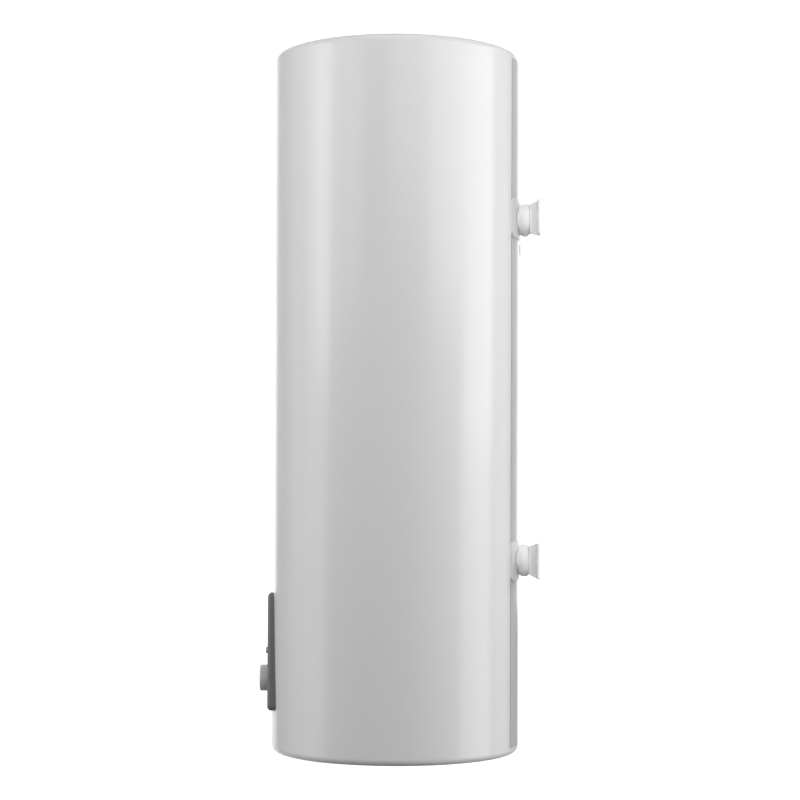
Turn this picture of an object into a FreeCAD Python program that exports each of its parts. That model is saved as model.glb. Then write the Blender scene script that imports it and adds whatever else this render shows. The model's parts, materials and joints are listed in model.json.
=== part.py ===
import FreeCAD, Part
import math
import os
import re

import Sketcher

# A flat, wall-hung tank water heater: two enamelled tanks side by side in a foam-filled
# steel casing of obround section, hung from the wall on four stand-off brackets.
#
# Frame: millimetres, +Z up, +Y into the wall, the heater's front faces -Y.
# Origin: on the wall plane, at the centre of the four wall anchors.

os.makedirs("parts", exist_ok=True)
doc = FreeCAD.newDocument("flat_water_heater")

# ---------------------------------------------------------------- driving dimensions

SIZES = {
    # casing
    "case_width": 557.0,
    "case_depth": 300.0,
    "case_height": 842.0,
    "shell_wall": 1.0,
    "joint_gap": 0.1,
    "seam_back": 13.0,
    "seam_gap": 0.4,
    "seam_lap": 9.0,
    "lap_short": 2.0,
    "cap_drop": 10.0,
    "cap_wall": 1.2,
    "cap_skirt": 14.0,
    "rim_round": 8.0,
    # clearances that many pieces share
    "running_fit": 0.05,
    "thread_clear": 0.2,
    "plate_clear": 1.0,
    "cut_past": 2.0,
    # wall mounts
    "mount_inset": 26.5,
    "mount_low": 233.0,
    "mount_rise": 410.0,
    "pad_thick": 1.6,
    "pad_tall": 47.0,
    "pad_wide": 54.0,
    "pad_round": 6.0,
    "pad_slot_tall": 19.0,
    "pad_slot_wide": 3.0,
    "drum_reach": 10.0,
    "drum_heel": 2.2,
    "drum_crown": 6.0,
    "drum_radius": 20.0,
    "drum_end_radius": 19.0,
    "drum_heel_radius": 16.5,
    "drum_foot_radius": 15.0,
    "drum_crown_round": 9.0,
    "drum_end_round": 2.4,
    "hanger_wall": 2.5,
    "hanger_clear": 2.5,
    "seat_tall": 34.0,
    "seat_reach": 17.0,
    "ear_tall": 44.0,
    "ear_start": 25.0,
    "ear_reach": 44.0,
    "ear_round": 3.0,
    "bead_tall": 19.0,
    "bead_radius": 0.9,
    "anchor_reach": 34.5,
    "anchor_bore": 9.0,
    "bolt_dia": 8.0,
    "bolt_clear": 0.5,
    "bolt_bite": 31.0,
    "head_flats": 13.0,
    "head_tall": 5.0,
    "washer_radius": 8.0,
    "washer_thick": 1.0,
    "rail_tall": 50.0,
    "rail_wall": 3.0,
    "rail_over": 12.0,
    "rail_grip": 6.0,
    "rail_sunk": 4.0,
    # tanks and plumbing
    "foam_wall": 25.0,
    "foam_floor": 40.0,
    "foam_top_gap": 9.0,
    "foam_clear": 0.3,
    "foam_room": 6.0,
    "tank_gap": 7.0,
    "tank_wall": 1.6,
    "tank_lift": 70.0,
    "tank_headroom": 26.0,
    "tank_knuckle": 60.0,
    "collar_bore": 31.0,
    "collar_radius": 50.0,
    "collar_tall": 8.0,
    "gasket_thick": 3.0,
    "gasket_lip": 2.0,
    "gasket_radius": 36.0,
    "flange_thick": 4.0,
    "stud_circle": 43.0,
    "stud_dia": 6.0,
    "stud_tall": 23.0,
    "nut_flats": 10.0,
    "nut_tall": 5.0,
    "link_radius": 11.0,
    "link_wall": 1.6,
    "link_length": 30.0,
    "link_inset": 90.0,
    "nipple_apart": 100.0,
    "nipple_back": 45.0,
    "nipple_drop": 23.0,
    "nipple_rise": 96.0,
    "nipple_radius": 10.48,
    "nipple_thread": 18.0,
    "nipple_step": 0.48,
    "nipple_wall": 3.0,
    "nipple_clear": 1.5,
    "ring_wall": 5.8,
    "ring_tall": 3.0,
    "ring_round": 0.8,
    "pipe_clear": 0.2,
    "dip_wall": 1.2,
    "dip_bite": 12.0,
    "diffuser_wall": 4.0,
    "diffuser_grip": 6.0,
    "diffuser_tall": 16.0,
    "diffuser_roof": 2.0,
    "diffuser_slot_wide": 5.0,
    "diffuser_slot_tall": 6.0,
    "element_radius": 4.0,
    "element_half": 14.0,
    "element_rise": 260.0,
    "element_tail": 12.0,
    "anode_radius": 10.0,
    "anode_neck": 3.0,
    "anode_rise": 230.0,
    "anode_back": 16.0,
    "well_radius": 4.0,
    "well_wall": 0.8,
    "well_tail": 3.0,
    "well_rise": 210.0,
    "well_front": 20.0,
    "probe_short": 12.0,
    "probe_clear": 0.3,
    # underside
    "door_bore": 56.0,
    "door_clear": 0.5,
    "door_radius": 66.0,
    "door_wall": 2.0,
    "door_rim": 8.0,
    "door_round": 1.0,
    "screw_circle": 61.0,
    "screw_dia": 4.0,
    "screw_fit": 0.1,
    "screw_long": 8.0,
    "screw_head": 3.6,
    "screw_head_tall": 1.6,
    "gland_front": 100.0,
    "gland_bore": 5.0,
    "gland_radius": 8.0,
    "gland_flats": 22.0,
    "gland_flange": 5.0,
    "gland_tail": 12.0,
    "gland_drop": 16.0,
    "gland_roof": 2.0,
    "gland_fit": 0.1,
    "gland_thread": 0.4,
    "locknut_tall": 4.0,
    "board_wide": 110.0,
    "board_deep": 70.0,
    "board_thick": 1.6,
    "board_lift": 12.0,
    "board_front": 30.0,
    "board_corner": 3.0,
    "post_radius": 3.0,
    "post_inset": 6.0,
    "strip_wide": 46.0,
    "strip_deep": 16.0,
    "strip_tall": 12.0,
    "strip_front": 24.0,
    "strip_pitch": 9.0,
    "strip_well": 2.6,
    "strip_well_deep": 7.0,
    "relay_wide": 30.0,
    "relay_deep": 22.0,
    "relay_tall": 16.0,
    "relay_left": 34.0,
    "relay_back": 10.0,
    "cutout_right": 26.0,
    "cutout_radius": 12.0,
    "cutout_tall": 10.0,
    "cutout_dome": 4.0,
    "cutout_stem": 3.0,
    # control panel
    "panel_inset": 10.5,
    "panel_height": 122.7,
    "panel_tall": 141.0,
    "panel_wide_top": 94.0,
    "panel_wide_foot": 117.0,
    "panel_corner": 7.0,
    "panel_round": 4.6,
    "panel_proud": 3.2,
    "panel_wrap": 13.0,
    "box_wide": 78.0,
    "box_tall": 112.0,
    "box_deep": 20.0,
    "box_wall": 2.0,
    "box_corner": 4.0,
    "box_clear": 0.5,
    "card_depth": 7.0,
    "card_clear": 0.5,
    "card_corner": 1.4,
    "module_clear": 0.5,
    "encoder_wide": 14.0,
    "switch_wide": 9.0,
    "lens_wide": 56.0,
    "lens_tall": 34.0,
    "lens_thick": 1.4,
    "lens_corner": 3.0,
    "lens_clear": 0.1,
    "lens_ledge": 3.0,
    "lens_rise": 38.0,
    "knob_radius": 16.0,
    "knob_tall": 11.4,
    "knob_gap": 0.5,
    "knob_wall": 2.2,
    "knob_web": 1.0,
    "knob_round": 1.6,
    "knob_fall": 35.7,
    "hub_radius": 7.0,
    "hub_lift": 0.4,
    "shaft_radius": 3.0,
    "shaft_end": 0.4,
    "pointer_wide": 2.4,
    "pointer_tall": 9.0,
    "pointer_thick": 1.0,
    "pointer_rise": 8.6,
    "button_radius": 4.0,
    "button_proud": 5.1,
    "button_gap": 0.3,
    "button_lip": 1.3,
    "button_lip_thick": 1.2,
    "button_stem": 1.4,
    "button_round": 0.8,
    "button_fall": 2.1,
    "stem_radius": 2.0,
    "spring_wire": 0.25,
    "spring_radius": 3.1,
    "spring_turns": 2.5,
}

sheet = doc.addObject("Spreadsheet::Sheet", "Sizes")
for row, (alias, number) in enumerate(SIZES.items(), start=1):
    sheet.set(f"A{row}", alias)
    sheet.set(f"B{row}", str(number))
    sheet.setAlias(f"B{row}", alias)
doc.recompute()

# Places that several pieces share, each as a formula of the driving dimensions.
WALL_GAP = "(drum_reach + hanger_wall + washer_thick + head_tall + hanger_clear)"
MID_Y = f"(-{WALL_GAP} - case_depth / 2)"
BASE_Z = "(-mount_low - mount_rise / 2)"
END_X = "(case_width / 2 - case_depth / 2)"
MOUNT_X = f"({END_X} + mount_inset)"
BACK_Y = f"(-{WALL_GAP})"
SEAT_Y = f"({BACK_Y} + drum_reach)"
SEAM_Y = "(case_depth / 2 - seam_back)"
CORNER_X = f"({END_X} + sqrt((case_depth / 2) ^ 2 - {SEAM_Y} ^ 2))"
TANK_R = "(min(case_depth / 2 - foam_wall; (case_width / 2 - foam_wall - tank_gap / 2) / 2))"
TANK_X = f"({TANK_R} + tank_gap / 2)"
TANK_TALL = "(case_height - tank_lift - tank_headroom)"
PANEL_X = f"({END_X} - panel_inset)"
PANEL_Z = f"({BASE_Z} + panel_height)"
FACE_Y = f"({BACK_Y} - case_depth - panel_proud)"
LID_Y = f"({FACE_Y} + panel_proud + box_deep)"
CARD_Y = f"({FACE_Y} + panel_proud + card_depth)"
FLANGE_Z = f"({BASE_Z} + tank_lift - collar_tall - gasket_thick)"
KNOB_Z = f"({PANEL_Z} - knob_fall)"
BUTTON_Z = f"({PANEL_Z} - button_fall)"
LENS_Z = f"({PANEL_Z} + lens_rise)"
PIPE_R = "(nipple_radius - nipple_step)"
PIPE_BORE = f"({PIPE_R} - nipple_wall)"

X_AXIS = FreeCAD.Vector(1, 0, 0)
Y_AXIS = FreeCAD.Vector(0, 1, 0)
TO_FRONT = (X_AXIS, 90)    # a piece drawn along Z then points out of the front
TO_WALL = (X_AXIS, -90)    # ... points at the wall
TO_RIGHT = (Y_AXIS, 90)    # ... points to the right
UPSIDE_DOWN = (X_AXIS, 180)

nodes = []


# ---------------------------------------------------------------- drawing helpers

def formula(text):
    """Write a formula of alias words the way the sheet's expressions want it."""
    return re.sub(r"[a-z][a-z_]*", lambda m: f"Sizes.{m[0]}" if m[0] in SIZES else m[0], str(text))


def value(alias):
    return float(sheet.get(alias))


def bind(item, **links):
    """Tie properties of an object to formulas."""
    for name, text in links.items():
        item.setExpression(name, formula(text))


def place(item, at, turn=None):
    """Put a piece at (x, y, z) formulas, turned first if turn gives an axis and angle."""
    if turn:
        item.Placement = FreeCAD.Placement(FreeCAD.Vector(), FreeCAD.Rotation(*turn))
    for axis, text in zip("xyz", at):
        item.setExpression(f"Placement.Base.{axis}", formula(text))
    return item


def new_body(name, at, turn=None):
    body = doc.addObject("PartDesign::Body", name)
    return place(body, at, turn)


def new_sketch(body, plane="XY_Plane"):
    sketch = body.newObject("Sketcher::SketchObject", f"{body.Name}_sketch")
    support = next(item for item in body.Origin.OriginFeatures if item.Role == plane)
    sketch.AttachmentSupport = [(support, "")]
    sketch.MapMode = "FlatFace"
    return sketch


def dimension(sketch, kind, where, guess, text):
    """Add one dimension to a sketch and tie it to a formula."""
    index = sketch.addConstraint(Sketcher.Constraint(kind, *where, guess))
    sketch.renameConstraint(index, f"size{index}")
    sketch.setExpression(f"Constraints.size{index}", formula(text))


def draw_outline(body, corners, plane="XY_Plane"):
    """A closed outline of straight lines through corners, each an (x, y) pair of formulas."""
    sketch = new_sketch(body, plane)
    count = len(corners)
    turn = 2 * math.pi / count
    guesses = [FreeCAD.Vector(math.cos(i * turn), math.sin(i * turn), 0) for i in range(count)]
    for i, start in enumerate(guesses):
        sketch.addGeometry(Part.LineSegment(start, guesses[(i + 1) % count]), False)
    for i in range(count):
        sketch.addConstraint(Sketcher.Constraint("Coincident", i, 2, (i + 1) % count, 1))
    for i, (across, up) in enumerate(corners):
        dimension(sketch, "DistanceX", (-1, 1, i, 1), guesses[i].x, across)
        dimension(sketch, "DistanceY", (-1, 1, i, 1), guesses[i].y, up)
    return sketch


def draw_rectangle(body, wide, tall, plane="XY_Plane"):
    side, top = f"({wide}) / 2", f"({tall}) / 2"
    corners = [(f"-{side}", f"-{top}"), (side, f"-{top}"), (side, top), (f"-{side}", top)]
    return draw_outline(body, corners, plane)


def draw_obround(body, swell):
    """The casing's outline, two half circles and two lines, swollen outwards by swell."""
    sketch = new_sketch(body)
    half = math.pi / 2
    right, left = FreeCAD.Vector(100, 0, 0), FreeCAD.Vector(-100, 0, 0)
    up = FreeCAD.Vector(0, 100, 0)
    for centre, first in ((right, -half), (left, half)):
        circle = Part.Circle(centre, FreeCAD.Vector(0, 0, 1), 100)
        sketch.addGeometry(Part.ArcOfCircle(circle, first, first + math.pi), False)
    sketch.addGeometry(Part.LineSegment(right + up, left + up), False)
    sketch.addGeometry(Part.LineSegment(left - up, right - up), False)
    for joint in ((0, 2, 2, 1), (2, 2, 1, 1), (1, 2, 3, 1), (3, 2, 0, 1)):
        sketch.addConstraint(Sketcher.Constraint("Tangent", *joint))
    sketch.addConstraint(Sketcher.Constraint("Equal", 0, 1))
    sketch.addConstraint(Sketcher.Constraint("PointOnObject", 0, 3, -1))
    sketch.addConstraint(Sketcher.Constraint("Symmetric", 0, 3, 1, 3, -1, 1))
    dimension(sketch, "Radius", (0,), 100, f"case_depth / 2 + {swell}")
    dimension(sketch, "DistanceX", (-1, 1, 0, 3), 100, END_X)
    return sketch


def pad(body, sketch, length, back=False):
    feature = body.newObject("PartDesign::Pad", f"{body.Name}_pad")
    feature.Profile = sketch
    feature.Reversed = back
    bind(feature, Length=length)
    return feature


def pocket(body, sketch, length=None, back=False):
    """Cut a sketch's area away, right through if no length is given."""
    feature = body.newObject("PartDesign::Pocket", f"{body.Name}_pocket")
    feature.Profile = sketch
    feature.Reversed = back
    if length is None:
        feature.Type = "ThroughAll"
    else:
        bind(feature, Length=length)
    doc.recompute()
    if feature.Shape.Volume >= feature.BaseFeature.Shape.Volume:
        raise RuntimeError(f"{feature.Name} cuts nothing")
    return feature


def soften(body, radius, wanted, kind="Fillet"):
    """Round (or chamfer) the edges of the body's tip that wanted(edge) picks out."""
    doc.recompute()
    tip = body.Tip
    names = [f"Edge{i}" for i, edge in enumerate(tip.Shape.Edges, start=1) if wanted(edge)]
    if not names:
        raise RuntimeError(f"{body.Name} has no edge to round")
    feature = body.newObject(f"PartDesign::{kind}", f"{body.Name}_{kind.lower()}")
    feature.Base = (tip, names)
    bind(feature, **{"Radius" if kind == "Fillet" else "Size": radius})
    doc.recompute()
    return feature


def level(edge, height):
    """True for an edge that lies all along at one local height."""
    return all(abs(v.Z - height) < 1e-4 for v in edge.Vertexes)


def upright(edge):
    return (
        isinstance(edge.Curve, Part.Line)
        and abs(edge.tangentAt(edge.FirstParameter).z) > 0.999
    )


def top_of(body):
    """The local height of the upper end of a body that is still being drawn."""
    doc.recompute()
    return body.Tip.Shape.BoundBox.ZMax


def node(item, label=None):
    """Count a finished piece: its label names its file."""
    if label:
        item.Label = label
    nodes.append(item)
    return item


def slug(name, swell, low, high):
    """A solid of the casing's outline from one height to another, above the casing's foot."""
    body = new_body(name, ("0", MID_Y, f"{BASE_Z} + {low}"))
    pad(body, draw_obround(body, swell), f"{high} - ({low})")
    return body


def block(name, wide, tall, thick, at, turn=None, corner=None):
    """A plate centred on its place, thick upwards from it, its upright edges rounded."""
    body = new_body(name, at, turn)
    pad(body, draw_rectangle(body, wide, tall), thick)
    if corner:
        soften(body, corner, upright)
    return body


def turned(name, outline, at, turn=None):
    """A piece turned about its own Z from an outline of (radius, height) formulas."""
    body = new_body(name, at, turn)
    feature = body.newObject("PartDesign::Revolution", f"{name}_turning")
    sketch = draw_outline(body, outline, "XZ_Plane")
    feature.Profile = sketch
    feature.ReferenceAxis = (sketch, ["V_Axis"])
    feature.Angle = 360
    return body


def rod(name, radius, length, at, turn=None):
    item = doc.addObject("Part::Cylinder", name)
    bind(item, Radius=radius, Height=length)
    return place(item, at, turn)


def hexagon(name, flats, length, at, turn=None):
    item = doc.addObject("Part::Prism", name)
    item.Polygon = 6
    bind(item, Circumradius=f"{flats} / 2 / cos(30)", Height=length)
    return place(item, at, turn)


def join(name, pieces):
    item = doc.addObject("Part::MultiFuse", name)
    item.Shapes = pieces
    item.Refine = True
    return item


def minus(name, base, *tools):
    item = doc.addObject("Part::Cut", name)
    item.Base = base
    item.Tool = tools[0] if len(tools) == 1 else join(f"{name}_tools", list(tools))
    item.Refine = True
    return item


def shared(name, first, second):
    item = doc.addObject("Part::Common", name)
    item.Base = first
    item.Tool = second
    return item


def group(name, pieces):
    """Identical fasteners, kept as separate solids in one node."""
    item = doc.addObject("Part::Compound", name)
    item.Links = pieces
    return node(item)


def ring_outline(inner, outer, low, high):
    return [(inner, low), (outer, low), (outer, high), (inner, high)]


SIDES = (("left", -1), ("right", 1))
LEVELS = (("lower", -1), ("upper", 1))
CORNERS = [(f"{row}_{side}", across, up) for row, up in LEVELS for side, across in SIDES]


def mount_at(across, up, depth):
    """A place on the axis of one wall mount; depth is a formula of Y."""
    return (f"{across} * {MOUNT_X}", depth, f"{up} * mount_rise / 2")


# ---------------------------------------------------------------- casing

def across_casing(front, rear):
    """An area wider than the casing, between two depths measured from its middle line."""
    return [("-case_width", front), ("case_width", front), ("case_width", rear), ("-case_width", rear)]


def make_front_shell():
    """The front sheet: the flat front and both rounded ends, as far as the seam."""
    body = new_body("front_shell_sheet", ("0", MID_Y, f"{BASE_Z} + cap_drop"))
    pad(body, draw_obround(body, "0"), "case_height - 2 * cap_drop")
    pocket(body, draw_obround(body, "-shell_wall"), back=True)
    pocket(body, draw_outline(body, across_casing(SEAM_Y, "case_depth")), back=True)
    opening = block("panel_opening", "box_wide + 2 * box_clear", "box_tall + 2 * box_clear",
                    "case_depth / 2", (PANEL_X, MID_Y, PANEL_Z), TO_FRONT, "box_corner + box_clear")
    return node(minus("front_shell", body, opening))


def back_strip(name, outer, inner, near, far, low="0"):
    """A band of the casing's wall, between two offsets and from one depth to another."""
    tall = f"case_height - 2 * cap_drop - 2 * ({low})"
    body = new_body(name, ("0", MID_Y, f"{BASE_Z} + cap_drop + {low}"))
    pad(body, draw_obround(body, f"-({outer})"), tall)
    pocket(body, draw_obround(body, f"-({inner})"), back=True)
    pocket(body, draw_outline(body, across_casing("-case_depth", near)), back=True)
    if far:
        pocket(body, draw_outline(body, across_casing(far, "case_depth")), back=True)
    return body


def make_back_shell():
    """The back sheet, with a joggled strip that laps under the front sheet's edges."""
    edge = f"{SEAM_Y} + seam_gap"
    lap_start = "shell_wall + joint_gap"
    short = "(cap_skirt + lap_short)"
    main = back_strip("back_shell_sheet", "0", "shell_wall", edge, None)
    lap = back_strip("back_shell_lap", lap_start, f"shell_wall + {lap_start}",
                     f"{SEAM_Y} - seam_lap", f"{edge} + shell_wall", short)
    web = back_strip("back_shell_web", "shell_wall / 2", f"shell_wall / 2 + {lap_start}",
                     edge, f"{edge} + shell_wall", short)
    holes = [rod(f"shell_hole_{name}", "(bolt_dia + bolt_clear) / 2", "case_depth",
                 mount_at(across, up, MID_Y), TO_WALL) for name, across, up in CORNERS]
    whole = join("back_shell_whole", [main, lap, web])
    return node(minus("back_shell", whole, *holes))


def make_cap(name, at, turn=None):
    """A pressed end cap: a rounded rim flush with the sheets and a skirt inside them."""
    body = new_body(name, at, turn)
    inside = "-(shell_wall + joint_gap + cap_wall)"
    pad(body, draw_obround(body, "0"), "cap_drop")
    pad(body, draw_obround(body, "-(shell_wall + joint_gap)"), "cap_skirt", back=True)
    pocket(body, draw_obround(body, inside), "cap_drop - cap_wall", back=True)
    pocket(body, draw_obround(body, inside))
    crown = top_of(body)
    wall = value("cap_wall")
    soften(body, "rim_round - cap_wall", lambda edge: level(edge, crown - wall))
    soften(body, "rim_round", lambda edge: level(edge, crown))
    return body


def make_caps():
    top = make_cap("top_cap", ("0", MID_Y, f"{BASE_Z} + case_height - cap_drop"))
    node(top)
    pressing = make_cap("bottom_cap_pressing", ("0", MID_Y, f"{BASE_Z} + cap_drop"), UPSIDE_DOWN)
    low = f"{BASE_Z} - cap_drop"
    holes = []
    for side, across in SIDES:
        holes.append(rod(f"door_hole_{side}", "door_bore + door_clear", "4 * cap_drop",
                         (f"{across} * {TANK_X}", MID_Y, low)))
        holes.append(rod(f"nipple_hole_{side}", "nipple_radius + nipple_clear", "4 * cap_drop",
                         nipple_at(across, low)))
        for spot in range(3):
            x, y = door_screw_at(across, spot)
            holes.append(rod(f"cap_screw_hole_{side}_{spot}", "screw_dia / 2", "4 * cap_drop",
                             (x, y, low)))
    holes.append(rod("gland_hole", "gland_radius + thread_clear", "4 * cap_drop",
                     ("0", f"{MID_Y} - gland_front", low)))
    return top, node(minus("bottom_cap", pressing, *holes))


def nipple_at(across, height):
    return (f"{across} * nipple_apart / 2", f"{MID_Y} + nipple_back", height)


def door_screw_at(across, spot):
    """X and Y of one of a service door's three screws."""
    bearing = 90 + 120 * spot
    x = f"{across} * {TANK_X} + screw_circle * cos({bearing})"
    return x, f"{MID_Y} + screw_circle * sin({bearing})"


# ---------------------------------------------------------------- wall mounts

def make_pads():
    """Four thin pressed pads that follow the casing's rear corners, from the seam inwards."""
    outer = slug("pad_outer", "pad_thick", "0", "case_height")
    inner = slug("pad_inner", "0", "0", "case_height")
    skin = minus("pad_skin", outer, inner)
    pads = []
    for name, across, up in CORNERS:
        outline = block(f"pad_outline_{name}", "pad_wide", "pad_tall", "case_depth / 2",
                        (f"{across} * ({CORNER_X} - pad_wide / 2)", MID_Y,
                         f"{up} * mount_rise / 2"), TO_WALL, "pad_round")
        plate = shared(f"pad_plate_{name}", outline, skin)
        bore = rod(f"pad_bore_{name}", "(bolt_dia + bolt_clear) / 2", "case_depth",
                   mount_at(across, up, MID_Y), TO_WALL)
        slot = block(f"pad_slot_{name}", "pad_slot_wide", "pad_slot_tall", "case_depth",
                     (f"{across} * ({MOUNT_X} + drum_radius)", MID_Y, f"{up} * mount_rise / 2"),
                     TO_WALL, "pad_slot_wide / 2.1")
        pads.append(minus(f"pad_{name}", plate, bore, slot))
    return group("mount_pads", pads)


def make_drums():
    """Four crowned spacers that hold the heater off the wall, seated on the pads."""
    seat = slug("drum_seat", "pad_thick", "0", "case_height")
    bore = "(bolt_dia + bolt_clear) / 2"
    heel = "-(drum_reach + drum_heel)"
    foot = f"{heel} - seam_lap"
    outline = [(bore, foot), ("drum_foot_radius", foot), ("drum_foot_radius", heel),
               ("drum_heel_radius", heel), ("drum_radius", "-drum_crown"),
               ("drum_end_radius", "0"), (bore, "0")]
    for name, across, up in CORNERS:
        blank = turned(f"drum_blank_{name}", outline, mount_at(across, up, SEAT_Y), TO_WALL)
        soften(blank, "drum_crown_round", lambda edge: level(edge, -value("drum_crown")))
        soften(blank, "drum_end_round", lambda edge: level(edge, 0)
               and edge.Curve.Radius > value("bolt_dia"))
        node(minus(f"drum_{name}", blank, seat))


def make_hangers():
    """Four stamped hangers: a seat on the drum and an ear that flares out to the wall."""
    rise = f"({WALL_GAP} - drum_reach - hanger_wall)"
    root = "seat_reach / 3"
    for name, across, up in CORNERS:
        at = mount_at(across, up, SEAT_Y)
        seat = block(f"hanger_seat_{name}", "seat_reach * 2", "seat_tall", "hanger_wall",
                     at, TO_WALL, "seat_reach - 1")
        flare = new_body(f"hanger_flare_{name}", at)
        path = [
            (f"{across} * {root}", "0"),
            (f"{across} * (seat_reach - 1)", "0"),
            (f"{across} * ear_start", rise),
            (f"{across} * ear_reach", rise),
            (f"{across} * ear_reach", f"{rise} + hanger_wall"),
            (f"{across} * (ear_start - 1)", f"{rise} + hanger_wall"),
            (f"{across} * (seat_reach - 2)", "hanger_wall"),
            (f"{across} * {root}", "hanger_wall"),
        ]
        pad(flare, draw_outline(flare, path), "ear_tall / 2")
        pad(flare, draw_outline(flare, path), "ear_tall / 2", back=True)
        trim = new_body(f"hanger_trim_{name}", at, TO_WALL)
        swell = "(ear_tall - seat_tall) / 2"
        tip = f"{across} * (ear_reach - {swell})"
        waist = [("0", "-seat_tall / 2"), (tip, "-seat_tall / 2"),
                 (tip, "seat_tall / 2"), ("0", "seat_tall / 2")]
        widening = pad(trim, draw_outline(trim, waist), f"{rise} + hanger_wall")
        bind(widening, TaperAngle=f"atan({swell} / ({rise} + hanger_wall))")
        soften(trim, "ear_round", lambda edge: not level(edge, edge.Vertexes[0].Z)
               and abs(edge.Vertexes[0].X) > value("ear_start"))
        wing = shared(f"hanger_wing_{name}", flare, trim)
        bead = rod(f"hanger_bead_{name}", "bead_radius", "bead_tall",
                   (f"{across} * ({MOUNT_X} + seat_reach)", f"{SEAT_Y} + hanger_wall / 2",
                    f"{up} * mount_rise / 2 - bead_tall / 2"))
        stamped = join(f"hanger_stamped_{name}", [seat, wing, bead])
        bolt_hole = rod(f"hanger_bolt_hole_{name}", "(bolt_dia + bolt_clear) / 2", WALL_GAP,
                        mount_at(across, up, BACK_Y), TO_WALL)
        anchor_hole = rod(f"anchor_hole_{name}", "anchor_bore / 2", WALL_GAP,
                          (f"{across} * ({MOUNT_X} + anchor_reach)", BACK_Y,
                           f"{up} * mount_rise / 2"), TO_WALL)
        node(minus(f"hanger_{name}", stamped, bolt_hole, anchor_hole))


def make_hanger_bolts():
    head_seat = f"{SEAT_Y} + hanger_wall"
    bolts, washers = [], []
    for name, across, up in CORNERS:
        washer = ring_outline("(bolt_dia + bolt_clear) / 2", "washer_radius", "0", "washer_thick")
        washers.append(turned(f"washer_{name}", washer, mount_at(across, up, head_seat), TO_WALL))
        under_head = mount_at(across, up, f"{head_seat} + washer_thick")
        head = hexagon(f"bolt_head_{name}", "head_flats", "head_tall", under_head, TO_WALL)
        shank_end = mount_at(across, up, f"{head_seat} + washer_thick - bolt_bite")
        shank = rod(f"bolt_shank_{name}", "bolt_dia / 2", "bolt_bite + cut_past", shank_end, TO_WALL)
        bolts.append(join(f"bolt_{name}", [head, shank]))
    group("hanger_bolts", bolts)
    group("hanger_washers", washers)


def make_rails(tank_moulds):
    """Two channels welded across the backs of the tanks, which take the hanger bolts."""
    inside = slug("rail_inside", "-(shell_wall + foam_clear)", "0", "case_height")
    rails = []
    for row, up in LEVELS:
        at = ("0", MID_Y, f"{up} * mount_rise / 2")
        long = f"2 * ({MOUNT_X} + rail_over)"
        bar = block(f"rail_bar_{row}", long, "rail_tall", "case_depth / 2", at, TO_WALL)
        fitted = shared(f"rail_fitted_{row}", bar, inside)
        hollow = block(f"rail_hollow_{row}", f"{long} + cut_past", "rail_tall - 2 * rail_wall",
                       "case_depth / 2 - rail_sunk - rail_wall", at, TO_WALL)
        front = block(f"rail_front_{row}", f"{long} + cut_past", "rail_tall + cut_past",
                      f"{TANK_R} - rail_grip", at, TO_WALL)
        bores = [rod(f"rail_bore_{row}_{side}", "bolt_dia / 2 + running_fit", "case_depth",
                     mount_at(across, up, MID_Y), TO_WALL) for side, across in SIDES]
        rails.append(minus(f"rail_{row}", fitted, hollow, front, *tank_moulds, *bores))
    group("hanger_rails", rails)


# ---------------------------------------------------------------- tanks and plumbing

def tank_form(name, across, swell):
    """The outside of one tank, a cylinder with deep rounded heads, swollen by swell."""
    radius = f"({TANK_R} + ({swell}))"
    outline = [("0", f"-({swell})"), (radius, f"-({swell})"),
               (radius, f"{TANK_TALL} + ({swell})"), ("0", f"{TANK_TALL} + ({swell})")]
    body = turned(name, outline, (f"{across} * {TANK_X}", MID_Y, f"{BASE_Z} + tank_lift"))
    soften(body, f"tank_knuckle + ({swell})",
           lambda edge: isinstance(edge.Curve, Part.Circle))
    return body


def link_at(up):
    """The place of a transfer pipe, near the foot or the head of the tanks."""
    if up < 0:
        return f"{BASE_Z} + tank_lift + link_inset"
    return f"{BASE_Z} + tank_lift + {TANK_TALL} - link_inset"


def make_tanks():
    """Each tank is one welded piece, with a collar and studs for its flange."""
    for side, across in SIDES:
        axis = (f"{across} * {TANK_X}", MID_Y)
        collar = rod(f"collar_{side}", "collar_radius", "collar_tall + cut_past",
                     (*axis, f"{BASE_Z} + tank_lift - collar_tall"))
        studs = [rod(f"stud_{side}_{spot}", "stud_dia / 2", "stud_tall",
                     stud_at(across, spot, f"{BASE_Z} + tank_lift - stud_tall"))
                 for spot in range(5)]
        cavity = tank_form(f"tank_cavity_{side}", across, "-tank_wall")
        mouth = rod(f"tank_mouth_{side}", "collar_bore", "collar_tall + tank_wall + 2 * cut_past",
                    (*axis, f"{BASE_Z} + tank_lift - collar_tall - cut_past"))
        inlet = rod(f"tank_inlet_{side}", f"{PIPE_R} + pipe_clear", "tank_knuckle",
                    nipple_at(across, f"{BASE_Z} + tank_lift - cut_past"))
        links = [rod(f"tank_link_{row}_{side}", "link_radius + pipe_clear", "tank_knuckle",
                     (f"{across} * tank_knuckle / 2 - tank_knuckle / 2", MID_Y, link_at(up)),
                     TO_RIGHT) for row, up in LEVELS]
        whole = join(f"tank_welded_{side}",
                     [tank_form(f"tank_outside_{side}", across, "0"), collar, *studs])
        node(minus(f"tank_{side}", whole, cavity, mouth, inlet, *links))


def stud_at(across, spot, height):
    bearing = 90 + 72 * spot
    x = f"{across} * {TANK_X} + stud_circle * cos({bearing})"
    return (x, f"{MID_Y} + stud_circle * sin({bearing})", height)


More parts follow.
